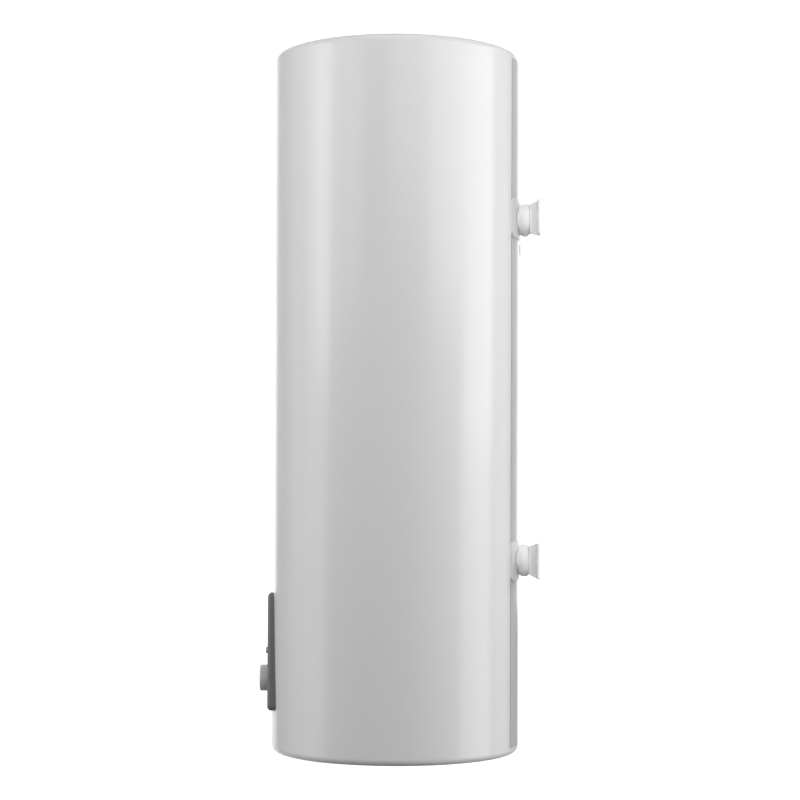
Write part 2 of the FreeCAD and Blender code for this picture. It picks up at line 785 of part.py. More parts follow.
def make_flanges():
    """The screwed flange under each tank, which carries its element, anode and well."""
    gaskets, nuts = [], []
    for side, across in SIDES:
        axis = (f"{across} * {TANK_X}", MID_Y)
        seal = ring_outline("collar_bore - gasket_lip", "gasket_radius", "0", "gasket_thick")
        gaskets.append(turned(f"flange_gasket_{side}", seal, (*axis, FLANGE_Z)))
        plate = rod(f"flange_plate_{side}", "collar_radius", "flange_thick",
                    (*axis, f"{FLANGE_Z} - flange_thick"))
        low = f"{FLANGE_Z} - flange_thick - cut_past"
        deep = "flange_thick + 2 * cut_past"
        legs = [rod(f"leg_hole_{side}_{end}", "element_radius + running_fit", deep,
                    (f"{axis[0]} + {end} * element_half", MID_Y, low)) for end in (-1, 1)]
        anode_hole = rod(f"anode_hole_{side}", "stud_dia / 2 + running_fit", deep,
                         (axis[0], f"{MID_Y} + anode_back", low))
        well_hole = rod(f"well_hole_{side}", "well_radius + running_fit", deep,
                        (axis[0], f"{MID_Y} - well_front", low))
        stud_holes = []
        for spot in range(5):
            stud_holes.append(rod(f"stud_hole_{side}_{spot}", "stud_dia / 2 + thread_clear",
                                  deep, stud_at(across, spot, low)))
            nut = hexagon(f"nut_{side}_{spot}", "nut_flats", "nut_tall",
                          stud_at(across, spot, f"{FLANGE_Z} - flange_thick - nut_tall"))
            bore = rod(f"nut_bore_{side}_{spot}", "stud_dia / 2 + running_fit",
                       "nut_tall + 2 * cut_past",
                       stud_at(across, spot, f"{low} - nut_tall"))
            nuts.append(minus(f"flange_nut_{side}_{spot}", nut, bore))
        node(minus(f"flange_{side}", plate, *legs, anode_hole, well_hole, *stud_holes))
    group("flange_gaskets", gaskets)
    group("flange_nuts", nuts)


def make_elements():
    """Each heating element is one tube bent to a hairpin."""
    for side, across in SIDES:
        foot = f"{FLANGE_Z} - flange_thick - element_tail"
        body = new_body(f"heating_element_{side}", (f"{across} * {TANK_X}", MID_Y, foot))
        path = new_sketch(body, "XZ_Plane")
        half, tall = value("element_half"), value("element_rise")
        feet = [FreeCAD.Vector(x, 0, 0) for x in (-half, half)]
        tips = [FreeCAD.Vector(x, tall, 0) for x in (-half, half)]
        bend = Part.Circle(FreeCAD.Vector(0, tall, 0), FreeCAD.Vector(0, 0, 1), half)
        path.addGeometry(Part.LineSegment(feet[0], tips[0]), False)
        path.addGeometry(Part.ArcOfCircle(bend, 0, math.pi), False)
        path.addGeometry(Part.LineSegment(tips[1], feet[1]), False)
        path.addConstraint(Sketcher.Constraint("Tangent", 0, 2, 1, 2))
        path.addConstraint(Sketcher.Constraint("Tangent", 1, 1, 2, 1))
        path.addConstraint(Sketcher.Constraint("PointOnObject", 0, 1, -1))
        path.addConstraint(Sketcher.Constraint("PointOnObject", 2, 2, -1))
        path.addConstraint(Sketcher.Constraint("Vertical", 0))
        path.addConstraint(Sketcher.Constraint("PointOnObject", 1, 3, -2))
        dimension(path, "Radius", (1,), half, "element_half")
        dimension(path, "DistanceY", (0, 1, 0, 2), tall, "element_rise")
        ring = new_sketch(body)
        ring.addGeometry(Part.Circle(feet[0], FreeCAD.Vector(0, 0, 1), value("element_radius")), False)
        ring.addConstraint(Sketcher.Constraint("PointOnObject", 0, 3, -1))
        dimension(ring, "DistanceX", (-1, 1, 0, 3), -half, "-element_half")
        dimension(ring, "Radius", (0,), value("element_radius"), "element_radius")
        doc.recompute()
        pipe = body.newObject("PartDesign::AdditivePipe", f"element_pipe_{side}")
        pipe.Profile = ring
        pipe.Spine = (path, ["Edge1", "Edge2", "Edge3"])
        node(body)


def make_anodes_and_wells():
    wells, probes = [], []
    for side, across in SIDES:
        x = f"{across} * {TANK_X}"
        tail = "(flange_thick + element_tail)"
        anode = [("0", f"-{tail}"), ("stud_dia / 2", f"-{tail}"),
                 ("stud_dia / 2", "anode_neck"), ("anode_radius", "anode_neck"),
                  ("anode_radius", "anode_rise"), ("0", "anode_rise")]
        node(turned(f"anode_{side}", anode, (x, f"{MID_Y} + anode_back", FLANGE_Z)))
        bore = "(well_radius - well_wall)"
        well = [(bore, "-flange_thick - well_tail"), ("well_radius", "-flange_thick - well_tail"),
                ("well_radius", "well_rise"), ("0", "well_rise"),
                ("0", "well_rise - well_wall"), (bore, "well_rise - well_wall")]
        place_of_well = (x, f"{MID_Y} - well_front", FLANGE_Z)
        wells.append(turned(f"well_{side}", well, place_of_well))
        probes.append(rod(f"probe_{side}", f"{bore} - probe_clear", "well_rise - probe_short",
                          (*place_of_well[:2], f"{FLANGE_Z} - flange_thick")))
    group("thermowells", wells)
    group("thermostat_probes", probes)


def make_links():
    wall = ring_outline("link_radius - link_wall", "link_radius",
                        "-link_length / 2", "link_length / 2")
    group("transfer_pipes", [turned(f"transfer_pipe_{row}", wall, ("0", MID_Y, link_at(up)), TO_RIGHT)
                             for row, up in LEVELS])


def make_nipples():
    """The two half-inch pipe ends, cold on the right and hot on the left."""
    shoulder = "nipple_thread - nipple_drop"
    for (side, across), water in zip(SIDES, ("hot", "cold")):
        outline = [(PIPE_BORE, "-nipple_drop"), ("nipple_radius", "-nipple_drop"),
                   ("nipple_radius", shoulder), (PIPE_R, shoulder),
                   (PIPE_R, "nipple_rise"), (PIPE_BORE, "nipple_rise")]
        node(turned(f"{water}_nipple", outline, nipple_at(across, BASE_Z)))
        bore = f"{PIPE_R} + pipe_clear"
        collar = ring_outline(bore, f"{bore} + ring_wall", "-ring_tall", "0")
        ring = turned(f"{water}_ring", collar, nipple_at(across, BASE_Z))
        soften(ring, "ring_round", lambda edge: level(edge, -value("ring_tall")))
        node(ring)
    outer = f"({PIPE_BORE} - joint_gap)"
    dip = ring_outline(f"{outer} - dip_wall", outer, "nipple_rise - dip_bite",
                       f"tank_lift + {TANK_TALL} - foam_wall")
    node(turned("hot_dip_tube", dip, nipple_at(-1, BASE_Z)))


def make_diffuser():
    """The slotted cup over the cold inlet, which spreads the cold water along the floor."""
    bore = f"{PIPE_R} + joint_gap"
    side = f"{bore} + diffuser_wall"
    foot, roof = "nipple_rise - diffuser_grip", "nipple_rise + diffuser_tall"
    ceiling = f"{roof} - diffuser_roof"
    cup = [(bore, foot), (side, foot), (side, roof), ("0", roof), ("0", ceiling), (bore, ceiling)]
    cap = turned("diffuser_cup", cup, nipple_at(1, BASE_Z))
    x, y, height = nipple_at(1, f"{BASE_Z} + nipple_rise + diffuser_tall / 2")
    slots = [block(f"diffuser_slot_{way}", f"({side}) * 3", "diffuser_slot_wide",
                   "diffuser_slot_tall", (x, y, height), (FreeCAD.Vector(0, 0, 1), way))
             for way in (0, 90)]
    node(minus("inlet_diffuser", cap, *slots))


def make_foam(tank_moulds):
    """The foam between the casing and the tanks, with a room for each thing inside it."""
    blank = slug("foam_blank", "-(shell_wall * 2 + joint_gap + cap_wall + foam_clear)",
                 "foam_floor", "case_height - foam_top_gap")
    rooms = []
    for side, across in SIDES:
        axis = (f"{across} * {TANK_X}", MID_Y)
        rooms.append(rod(f"foam_well_{side}", "collar_radius + foam_room", "tank_lift + tank_knuckle",
                         (*axis, BASE_Z)))
        rooms.append(rod(f"foam_pipe_{side}", "nipple_radius + foam_clear", "nipple_rise",
                         nipple_at(across, BASE_Z)))
    for row, up in LEVELS:
        rooms.append(rod(f"foam_link_{row}", "link_radius + foam_clear", "link_length * 2",
                         ("-link_length", MID_Y, link_at(up)), TO_RIGHT))
        rooms.append(block(f"foam_rail_{row}", f"2 * ({MOUNT_X} + rail_over) + 2 * foam_clear",
                           "rail_tall + 2 * foam_clear", "case_depth / 2",
                           ("0", f"{MID_Y} + {TANK_R} - rail_grip - foam_clear",
                            f"{up} * mount_rise / 2"), TO_WALL))
    rooms.append(block("foam_panel_room", "box_wide + 2 * cut_past", "box_tall + 2 * cut_past",
                       "box_deep + panel_wrap", (PANEL_X, f"{LID_Y} + box_wall + cut_past", PANEL_Z),
                       TO_FRONT, "box_corner + box_clear"))
    return node(minus("foam_insulation", blank, *tank_moulds, *rooms))


# ---------------------------------------------------------------- underside

def make_doors():
    """The round service door under each flange, and its three screws."""
    screws = []
    for side, across in SIDES:
        x = f"{across} * {TANK_X}"
        dish = [("0", "-door_wall"), ("door_radius", "-door_wall"), ("door_radius", "0"),
                ("door_bore", "0"), ("door_bore", "door_rim"),
                ("door_bore - door_wall", "door_rim"), ("door_bore - door_wall", "0"), ("0", "0")]
        door = turned(f"door_dish_{side}", dish, (x, MID_Y, BASE_Z))
        soften(door, "door_round", lambda edge: level(edge, -value("door_wall")))
        holes = []
        for spot in range(3):
            sx, sy = door_screw_at(across, spot)
            holes.append(rod(f"door_screw_hole_{side}_{spot}", "screw_dia / 2 + screw_fit",
                             "4 * door_wall", (sx, sy, f"{BASE_Z} - 2 * door_wall")))
            crown, shank = "-door_wall - screw_head_tall", "screw_dia / 2 - screw_fit"
            screw = [("0", crown), ("screw_head * 0.6", crown),
                     ("screw_head", "-door_wall - screw_head_tall / 2"),
                     ("screw_head", "-door_wall"), (shank, "-door_wall"),
                     (shank, "screw_long"), ("0", "screw_long")]
            screws.append(turned(f"door_screw_{side}_{spot}", screw, (sx, sy, BASE_Z)))
        node(minus(f"service_door_{side}", door, *holes))
    group("door_screws", screws)


def make_gland():
    """The cable gland: a body clamped through the bottom cap and a hexagon dome nut."""
    x, y = "0", f"{MID_Y} - gland_front"
    thread = "gland_radius - gland_thread"
    foot = "gland_roof - gland_drop"
    outline = [("gland_bore", foot), (thread, foot), (thread, "-gland_flange"),
               ("gland_flats / 2", "-gland_flange"), ("gland_flats / 2", "0"),
               ("gland_radius", "0"), ("gland_radius", "gland_tail"), ("gland_bore", "gland_tail")]
    node(turned("gland_body", outline, (x, y, BASE_Z)))
    low = f"{BASE_Z} - gland_drop"
    nut = hexagon("gland_nut_blank", "gland_flats", f"gland_drop - gland_flange - gland_thread",
                  (x, y, low))
    bore = rod("gland_nut_bore", f"{thread} + gland_fit", "gland_drop", (x, y, f"{low} + gland_roof"))
    mouth = rod("gland_nut_mouth", "gland_bore + thread_clear", "gland_drop",
                (x, y, f"{low} - cut_past"))
    node(minus("gland_nut", nut, bore, mouth))
    locknut = hexagon("locknut_blank", "gland_flats", "locknut_tall",
                      (x, y, f"{BASE_Z} + cap_wall"))
    tapped = rod("locknut_bore", "gland_radius + running_fit", "gland_tail", (x, y, BASE_Z))
    node(minus("gland_locknut", locknut, tapped))


def make_bottom_electrics():
    """The power board on its posts, with the terminal block, relay and safety cut-out."""
    y = f"({MID_Y} - board_front)"
    floor = f"({BASE_Z} + board_lift)"
    node(block("power_board", "board_wide", "board_deep", "board_thick", ("0", y, floor), None,
               "board_corner"))
    posts = [rod(f"post_{i}_{j}", "post_radius", "board_lift - cap_wall",
                 (f"{i} * (board_wide / 2 - post_inset)",
                  f"{y} + {j} * (board_deep / 2 - post_inset)", f"{BASE_Z} + cap_wall"))
             for i in (-1, 1) for j in (-1, 1)]
    group("board_posts", posts)
    top = f"({floor} + board_thick)"
    strip_y = f"{y} - strip_front"
    strip = block("terminal_strip", "strip_wide", "strip_deep", "strip_tall", ("0", strip_y, top))
    wells = [rod(f"terminal_well_{i}", "strip_well", "strip_tall",
                 (f"{i - 2} * strip_pitch", strip_y, f"{top} + strip_tall - strip_well_deep"))
             for i in range(5)]
    node(minus("terminal_block", strip, *wells))
    node(block("power_relay", "relay_wide", "relay_deep", "relay_tall",
               ("-relay_left", f"{y} + relay_back", top), None, "plate_clear"))
    dome, cap = "cutout_tall + cutout_dome", "cutout_radius - cutout_stem"
    disc = [("0", "0"), ("cutout_radius", "0"), ("cutout_radius", "cutout_tall"), (cap, dome),
            ("cutout_stem", dome), ("cutout_stem", f"{dome} + cutout_dome"),
            ("0", f"{dome} + cutout_dome")]
    node(turned("safety_cutout", disc, ("cutout_right", f"{y} + relay_back", top)))


# ---------------------------------------------------------------- control panel

def make_fascia():
    """The dark moulding on the casing's front, with a box behind it for the electronics."""
    body = new_body("fascia_blank", (PANEL_X, f"{FACE_Y} + panel_wrap", PANEL_Z), TO_FRONT)
    half_top, half_foot, half_tall = "panel_wide_top / 2", "panel_wide_foot / 2", "panel_tall / 2"
    corners = [(f"-{half_foot}", f"-{half_tall}"), (half_foot, f"-{half_tall}"),
               (half_top, half_tall), (f"-{half_top}", half_tall)]
    pad(body, draw_outline(body, corners), "panel_wrap")
    soften(body, "panel_corner", upright)
    soften(body, "panel_round", lambda edge: level(edge, value("panel_wrap")))
    casing = slug("fascia_casing", "0", "0", "case_height")
    face = minus("fascia_face", body, casing)
    lid = (PANEL_X, LID_Y, PANEL_Z)
    box = block("fascia_box", "box_wide", "box_tall", "box_deep + panel_proud / 2",
                lid, TO_FRONT, "box_corner")
    room = block("fascia_room", "box_wide - 2 * box_wall", "box_tall - 2 * box_wall",
                 "box_deep", lid, TO_FRONT, "box_corner - box_wall")
    recess = block("lens_recess", "lens_wide + 2 * lens_clear", "lens_tall + 2 * lens_clear",
                   "lens_thick + cut_past", (PANEL_X, f"{FACE_Y} + lens_thick", LENS_Z),
                   TO_FRONT, "lens_corner + lens_clear")
    behind = f"{FACE_Y} + panel_proud + cut_past"
    through = "panel_proud + 2 * cut_past"
    window = block("lens_window", "lens_wide - 2 * lens_ledge", "lens_tall - 2 * lens_ledge",
                   through, (PANEL_X, behind, LENS_Z), TO_FRONT)
    shaft_hole = rod("shaft_hole", "shaft_radius + button_gap", through,
                     (PANEL_X, behind, KNOB_Z), TO_FRONT)
    button_hole = rod("button_hole", "button_radius + button_gap", through,
                      (PANEL_X, behind, BUTTON_Z), TO_FRONT)
    whole = join("fascia_whole", [face, box])
    node(minus("panel_fascia", whole, room, recess, window, shaft_hole, button_hole))
    node(block("display_lens", "lens_wide", "lens_tall", "lens_thick",
               (PANEL_X, f"{FACE_Y} + lens_thick", LENS_Z), TO_FRONT, "lens_corner"))
    node(block("panel_lid", "box_wide", "box_tall", "box_wall",
               (PANEL_X, f"{LID_Y} + box_wall", PANEL_Z), TO_FRONT, "box_corner"))


def make_panel_card():
    """The card behind the fascia with its display, rotary encoder and push switch."""
    inside = "2 * (box_wall + card_clear)"
    node(block("panel_card", f"box_wide - {inside}", f"box_tall - {inside}", "board_thick",
               (PANEL_X, f"{CARD_Y} + board_thick", PANEL_Z), TO_FRONT, "card_corner"))
    window = "2 * (lens_ledge + module_clear)"
    node(block("display_module", f"lens_wide - {window}", f"lens_tall - {window}",
               "card_depth - module_clear", (PANEL_X, CARD_Y, LENS_Z), TO_FRONT))
    case = block("encoder_case", "encoder_wide", "encoder_wide", "card_depth - plate_clear",
                 (PANEL_X, CARD_Y, KNOB_Z), TO_FRONT)
    bore = rod("encoder_bore", "shaft_radius + running_fit", "card_depth + 2 * cut_past",
               (PANEL_X, f"{CARD_Y} + cut_past", KNOB_Z), TO_FRONT)
    node(minus("rotary_encoder", case, bore))
    switch = block("switch_case", "switch_wide", "switch_wide", "card_depth / 2",
                   (PANEL_X, CARD_Y, BUTTON_Z), TO_FRONT)
    throat = rod("switch_throat", "stem_radius + button_gap", "card_depth",
                 (PANEL_X, f"{CARD_Y} - plate_clear", BUTTON_Z), TO_FRONT)
    node(minus("push_switch", switch, throat))


def make_knob():
    """The temperature knob, a hollow moulding on a plain shaft, with an inlaid pointer."""
    at = (PANEL_X, f"{FACE_Y} - knob_gap", KNOB_Z)
    socket, inside = "(shaft_radius + running_fit)", "knob_radius - knob_wall"
    roof, web = "knob_tall - knob_wall", "knob_tall - knob_wall - knob_web"
    outline = [(socket, "hub_lift"), ("hub_radius", "hub_lift"), ("hub_radius", web),
               (inside, web), (inside, "0"), ("knob_radius", "0"), ("knob_radius", "knob_tall"),
               ("0", "knob_tall"), ("0", roof), (socket, roof)]
    body = turned("knob_moulding", outline, at, TO_FRONT)
    soften(body, "knob_round", lambda edge: level(edge, value("knob_tall"))
           and isinstance(edge.Curve, Part.Circle))
    inlay = (PANEL_X, f"{FACE_Y} - knob_gap - knob_tall + pointer_thick",
             f"{KNOB_Z} + pointer_rise")
    groove = block("pointer_groove", "pointer_wide + 2 * running_fit",
                   "pointer_tall + 2 * running_fit", "pointer_thick + cut_past", inlay, TO_FRONT,
                   "pointer_wide / 2.1")
    node(minus("temperature_knob", body, groove))
    node(block("knob_pointer", "pointer_wide", "pointer_tall", "pointer_thick", inlay,
               TO_FRONT, "pointer_wide / 2.1"))
    node(rod("knob_shaft", "shaft_radius",
             f"card_depth + panel_proud + knob_gap + {roof} - 2 * shaft_end",
             (PANEL_X, f"{CARD_Y} - shaft_end", KNOB_Z), TO_FRONT))


def make_button():
    """The push button: a domed cap with a lip behind the fascia, and its return spring."""
    lip = "(-panel_proud - button_gap)"
    back = f"({lip} - button_lip_thick)"
    wide = "button_radius + button_lip"
    outline = [("0", f"{back} - button_stem"), ("stem_radius", f"{back} - button_stem"),
               ("stem_radius", back), (wide, back), (wide, lip), ("button_radius", lip),
               ("button_radius", "button_proud"), ("0", "button_proud")]
    cap = turned("button_cap", outline, (PANEL_X, FACE_Y, BUTTON_Z), TO_FRONT)
    soften(cap, "button_round", lambda edge: level(edge, value("button_proud"))
           and isinstance(edge.Curve, Part.Circle))
    node(cap)
    helix = doc.addObject("Part::Helix", "spring_line")
    seat = f"{CARD_Y} - card_depth / 2 - spring_wire"
    room = "(card_depth / 2 - button_gap - button_lip_thick - 2 * spring_wire)"
    bind(helix, Radius="spring_radius", Height=room, Pitch=f"{room} / spring_turns")
    place(helix, (PANEL_X, seat, BUTTON_Z), TO_FRONT)
    wire = doc.addObject("Part::Circle", "spring_section")
    bind(wire, Radius="spring_wire")
    place(wire, (f"{PANEL_X} + spring_radius", seat, BUTTON_Z))
    spring = doc.addObject("Part::Sweep", "button_spring")
    spring.Sections = [wire]
    spring.Spine = (helix, ["Edge1"])
    spring.Solid = True
    spring.Frenet = True
    node(spring)


# ---------------------------------------------------------------- build, check and write

def build():
    moulds = [tank_form(f"tank_mould_{side}", across, "foam_clear") for side, across in SIDES]
    make_front_shell()
    make_back_shell()
    make_caps()
    make_foam(moulds)
    make_tanks()
    make_flanges()
    make_elements()
    make_anodes_and_wells()
    make_links()
    make_nipples()
    make_diffuser()
    make_rails(moulds)
    make_pads()
    make_drums()
    make_hangers()
    make_hanger_bolts()
    make_doors()
    make_gland()
    make_bottom_electrics()
    make_fascia()
    make_panel_card()
    make_knob()
    make_button()


def check():
    """Stop if anything in the document failed, or a piece isn't sound."""
    for item in doc.Objects:
        if {"Invalid", "Error"} & set(item.State):
            raise RuntimeError(f"{item.Name} failed: {item.State} {item.getStatusString()}")
    for item in nodes:
        shape = item.Shape
        if shape.isNull() or not shape.isValid() or not shape.Solids:
            raise RuntimeError(f"{item.Label} is not a sound solid")
        print(f"{item.Label}: {len(shape.Solids)} solids, {shape.Volume / 1000:.2f} cm3")


build()
doc.recompute()
check()
for item in nodes:
    item.Shape.exportStep(f"parts/{item.Label}.step")
print(len(nodes), "pieces written")
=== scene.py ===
# %% [markdown]
# # A flat tank water heater
# The heater hangs on a wall: a white steel casing with rounded ends, four hangers behind it, and
# a dark control panel at the lower right of its front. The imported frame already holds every
# piece at its real size, so this lesson is about finish: powder coat, moulded plastic, a lit
# display, cut threads and the soft studio light that shows them.

import json
import math

import bmesh
import bpy
from mathutils import Matrix, Vector

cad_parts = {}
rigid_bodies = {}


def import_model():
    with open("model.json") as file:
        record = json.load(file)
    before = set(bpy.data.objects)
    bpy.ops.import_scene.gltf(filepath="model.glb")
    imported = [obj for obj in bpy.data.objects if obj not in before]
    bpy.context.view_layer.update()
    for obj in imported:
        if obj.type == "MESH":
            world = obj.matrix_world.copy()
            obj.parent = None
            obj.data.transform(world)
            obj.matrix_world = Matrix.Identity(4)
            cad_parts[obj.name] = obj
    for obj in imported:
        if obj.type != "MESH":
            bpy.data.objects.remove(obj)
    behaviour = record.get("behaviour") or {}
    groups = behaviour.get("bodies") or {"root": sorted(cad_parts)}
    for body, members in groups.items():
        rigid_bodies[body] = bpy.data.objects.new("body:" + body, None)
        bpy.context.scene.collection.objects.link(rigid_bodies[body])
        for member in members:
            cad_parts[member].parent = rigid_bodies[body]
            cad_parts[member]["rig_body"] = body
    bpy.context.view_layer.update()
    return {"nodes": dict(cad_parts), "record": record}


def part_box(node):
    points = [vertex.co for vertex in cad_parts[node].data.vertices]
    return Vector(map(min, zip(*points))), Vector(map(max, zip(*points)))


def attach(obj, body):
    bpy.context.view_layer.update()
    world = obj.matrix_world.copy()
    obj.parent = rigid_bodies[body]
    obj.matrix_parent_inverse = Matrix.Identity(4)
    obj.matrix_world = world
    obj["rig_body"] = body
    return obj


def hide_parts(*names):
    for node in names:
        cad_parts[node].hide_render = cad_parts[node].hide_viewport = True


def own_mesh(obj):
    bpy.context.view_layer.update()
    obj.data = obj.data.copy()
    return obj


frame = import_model()
scene = bpy.context.scene
MM = 0.001

# %% [markdown]
# Every place comes from the frame. The bottom cap is as deep as the casing, so half its depth is
# the radius of the rounded ends, and its lowest corner is the casing's foot. Later cells ask for
# other pieces' boxes in the same way.

# %% Places read from the frame
cap_low, cap_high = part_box("bottom_cap")
foot_z = cap_low.z
case_radius = (cap_high.y - cap_low.y) / 2
mid_y = (cap_high.y + cap_low.y) / 2
end_x = cap_high.x - case_radius
print("casing foot", round(foot_z, 4), "end radius", round(case_radius, 4))

# %% [markdown]
# ## Camera
# The heater is seen square on from its narrow right side. A shift lens keeps the tall sides
# upright: the camera stays level and only its picture is moved up, as on a view camera.

# %% Camera
FILM = 36.0  # millimetres
CAMERA_AWAY = 2.5735
CAMERA_UP = 0.323
camera_data = bpy.data.cameras.new("camera")
camera = bpy.data.objects.new("camera", camera_data)
scene.collection.objects.link(camera)
camera_data.sensor_width = FILM
camera_data.lens = 90.2
camera_data.shift_x = 0.0056
camera_data.shift_y = 0.1065
camera.location = (CAMERA_AWAY, mid_y, foot_z + CAMERA_UP)
camera.rotation_euler = (math.radians(90), math.radians(-0.16), math.radians(90))
scene.camera = camera
print("camera", [round(v, 3) for v in camera.location])

# %% [markdown]
# ## Nodes
# A finish is a small tree of nodes. One helper adds a node with its settings and its links, so
# each material below reads as a list of what it is made of. Colours are written as the hex
# values a paint maker would give, and turned to the linear values that the shader wants.

# %% Colour and node helpers
def linear(hex_colour):
    channels = [int(hex_colour[i:i + 2], 16) / 255 for i in (1, 3, 5)]
    flat = [c / 12.92 if c <= 0.04045 else ((c + 0.055) / 1.055) ** 2.4 for c in channels]
    return (*flat, 1.0)


def add_node(tree, kind, settings=None, **inputs):
    """Add a node: settings are its own properties, inputs are values or the sockets to link."""
    node = tree.nodes.new(kind)
    for name, setting in (settings or {}).items():
        setattr(node, name, setting)
    for name, given in inputs.items():
        socket = node.inputs[name.replace("_", " ")]
        if isinstance(given, bpy.types.NodeSocket):
            tree.links.new(given, socket)
        else:
            socket.default_value = given
    return node


def new_finish(name, hex_colour, roughness, metallic=0.0, **sockets):
    """A material whose shader holds the plain values; patterns are linked to it afterwards."""
    material = bpy.data.materials.new(name)
    material.use_nodes = True
    shader = material.node_tree.nodes["Principled BSDF"]
    shader.inputs["Base Color"].default_value = linear(hex_colour)
    shader.inputs["Roughness"].default_value = roughness
    shader.inputs["Metallic"].default_value = metallic
    for socket, given in sockets.items():
        shader.inputs[socket.replace("_", " ")].default_value = given
    return material, material.node_tree, shader


finishes = {}
print("helpers ready")

# %% [markdown]
# ## One recipe for a worked surface
# Paint, plastic and metal differ in their numbers more than in their make-up. Each has a fine
# grain that the light catches, and slow clouds of colour and gloss from handling, casting or
# spraying. The recipe takes the grain's width and depth and the clouds' width in millimetres.
# A stretch below 1 along an axis draws the grain out that way, as rolling and brushing do. The
# Mix node has sockets of the same name for numbers and colours, so the colour ones go by place.

# %% The surface recipe
MIX_FROM = 6
MIX_TO = 7
MIX_OUT = 2
FULL_METAL = 1.0


def worked(name, hex_colour, other_hex, roughness, metallic=0.0, grain=1.0, depth=0.01,
           cloud=40.0, gloss=0.04, stretch=(1, 1, 1), **sockets):
    material, tree, shader = new_finish(name, hex_colour, roughness, metallic, **sockets)
    where = add_node(tree, "ShaderNodeTexCoord")
    drawn = add_node(tree, "ShaderNodeMapping", Vector=where.outputs["Object"], Scale=stretch)
    fine = add_node(tree, "ShaderNodeTexNoise", Vector=drawn.outputs["Vector"],
                    Scale=1 / (grain * MM), Detail=2.0)
    bump = add_node(tree, "ShaderNodeBump", Height=fine.outputs["Fac"], Strength=1.0,
                    Distance=depth * MM)
    tree.links.new(bump.outputs["Normal"], shader.inputs["Normal"])
    slow = add_node(tree, "ShaderNodeTexNoise", Vector=drawn.outputs["Vector"],
                    Scale=1 / (cloud * MM), Detail=4.0, Roughness=0.6)
    tones = add_node(tree, "ShaderNodeMix", {"data_type": "RGBA"}, Factor=slow.outputs["Fac"])
    tones.inputs[MIX_FROM].default_value = linear(hex_colour)
    tones.inputs[MIX_TO].default_value = linear(other_hex)
    tree.links.new(tones.outputs[MIX_OUT], shader.inputs["Base Color"])
    shine = add_node(tree, "ShaderNodeMapRange", Value=slow.outputs["Fac"],
                     To_Min=max(roughness - gloss, 0.02), To_Max=min(roughness + gloss, 1.0))
    tree.links.new(shine.outputs["Result"], shader.inputs["Roughness"])
    return material


# %% [markdown]
# ## Powder coat
# The casing is sheet steel, sprayed with white powder and baked. The melted powder levels to a
# gloss but keeps a faint orange peel a few millimetres across, so reflections have soft edges.
# The hangers are thicker steel with a thinner coat, and a shade greyer.

# %% White powder coats
finishes["casing_enamel"] = worked("white_powder_coat", "#F0F0F0", "#EDEDED", 0.21, IOR=1.5,
                                   grain=4.0, depth=0.0035, cloud=90, gloss=0.02)
finishes["bracket_enamel"] = worked("bracket_powder_coat", "#F0F0F0", "#EAEAEA", 0.34, IOR=1.5,
                                    grain=1.6, depth=0.012, cloud=25, gloss=0.05)
# The back sheet's coat is painted darker grey: painted shade for the rear of the casing, which
# turns away from the lights.
back_sheet_painted_shade_coat = worked("back_sheet_painted_shade_powder", "#CFCFCF", "#C8C8C8", 0.24, IOR=1.5,
                         grain=3.0, depth=0.005, cloud=60, gloss=0.03)
print("powder coats made")

# %% [markdown]
# ## Moulded plastics
# A mould leaves its own skin on the plastic: spark-eroded steel gives a fine even grain, polished
# steel gives gloss. The drums are glass-filled nylon, dull and slightly mottled. The doors are
# ABS, the collars and the gland are nylon, and the panel is ABS with a deeper spark grain that
# keeps fingerprints from showing.

# %% Plastics outside
finishes["drum_plastic"] = worked("glass_filled_nylon", "#F2F2F0", "#E8E8E6", 0.56, IOR=1.53,
                                  grain=0.9, depth=0.012, cloud=7, gloss=0.08)
finishes["door_plastic"] = worked("white_abs_spark_grain", "#E6E6E4", "#E0E0DE", 0.40, IOR=1.53,
                                  grain=0.8, depth=0.014, cloud=30)
finishes["gland_plastic"] = worked("grey_nylon_gland", "#CFD1D0", "#C5C7C6", 0.46, IOR=1.53,
                                   grain=0.6, depth=0.006, cloud=9)
finishes["hot_red"] = worked("red_nylon_collar", "#B61F17", "#A81A13", 0.36, IOR=1.53,
                             grain=0.7, depth=0.006, cloud=10)
finishes["cold_blue"] = worked("blue_nylon_collar", "#1A4BA6", "#164296", 0.36, IOR=1.53,
                               grain=0.7, depth=0.006, cloud=10)
finishes["panel_grey"] = worked("dark_grey_abs_spark_grain", "#7C7C7C", "#767676", 0.52, IOR=1.53,
                                grain=0.7, depth=0.022, cloud=18)
finishes["knob_grey"] = worked("satin_grey_abs", "#DEDEDE", "#D8D8D8", 0.38, IOR=1.53,
                               grain=0.5, depth=0.005, cloud=8)
finishes["pointer_dark"] = worked("black_inlay", "#1D1D1E", "#19191A", 0.42, IOR=1.53,
                                  grain=0.5, depth=0.005, cloud=4)

# %% Plastics inside
finishes["pipe_plastic"] = worked("natural_polypropylene", "#CFCEC8", "#C6C5BE", 0.42, IOR=1.49,
                                  grain=2.0, depth=0.01, cloud=30)
finishes["electric_black"] = worked("black_polyester_housing", "#1A1B1D", "#141517", 0.48,
                                    IOR=1.55, grain=0.5, depth=0.012, cloud=8)
finishes["terminal_white"] = worked("white_terminal_nylon", "#D4D4CE", "#CBCBC4", 0.44, IOR=1.53,
                                    grain=0.6, depth=0.006, cloud=8)
finishes["seal_rubber"] = worked("black_epdm_rubber", "#1C1C1C", "#242423", 0.72, IOR=1.52,
                                 grain=0.9, depth=0.02, cloud=12, gloss=0.08)
print(len(finishes), "finishes so far")

# %% [markdown]
# ## Metals
# A metal shows colour only in its reflections, so it has metallic 1 and the standard IOR. Zinc
# plating is a cool grey with cloudy gloss. Drawn steel has fine lines along its length, turned
# brass has lines round it, cast magnesium is dull and pitted, and nickel is warmer and brighter
# than zinc. The button's silver lacquer holds only a little metal, so it is partly metallic.

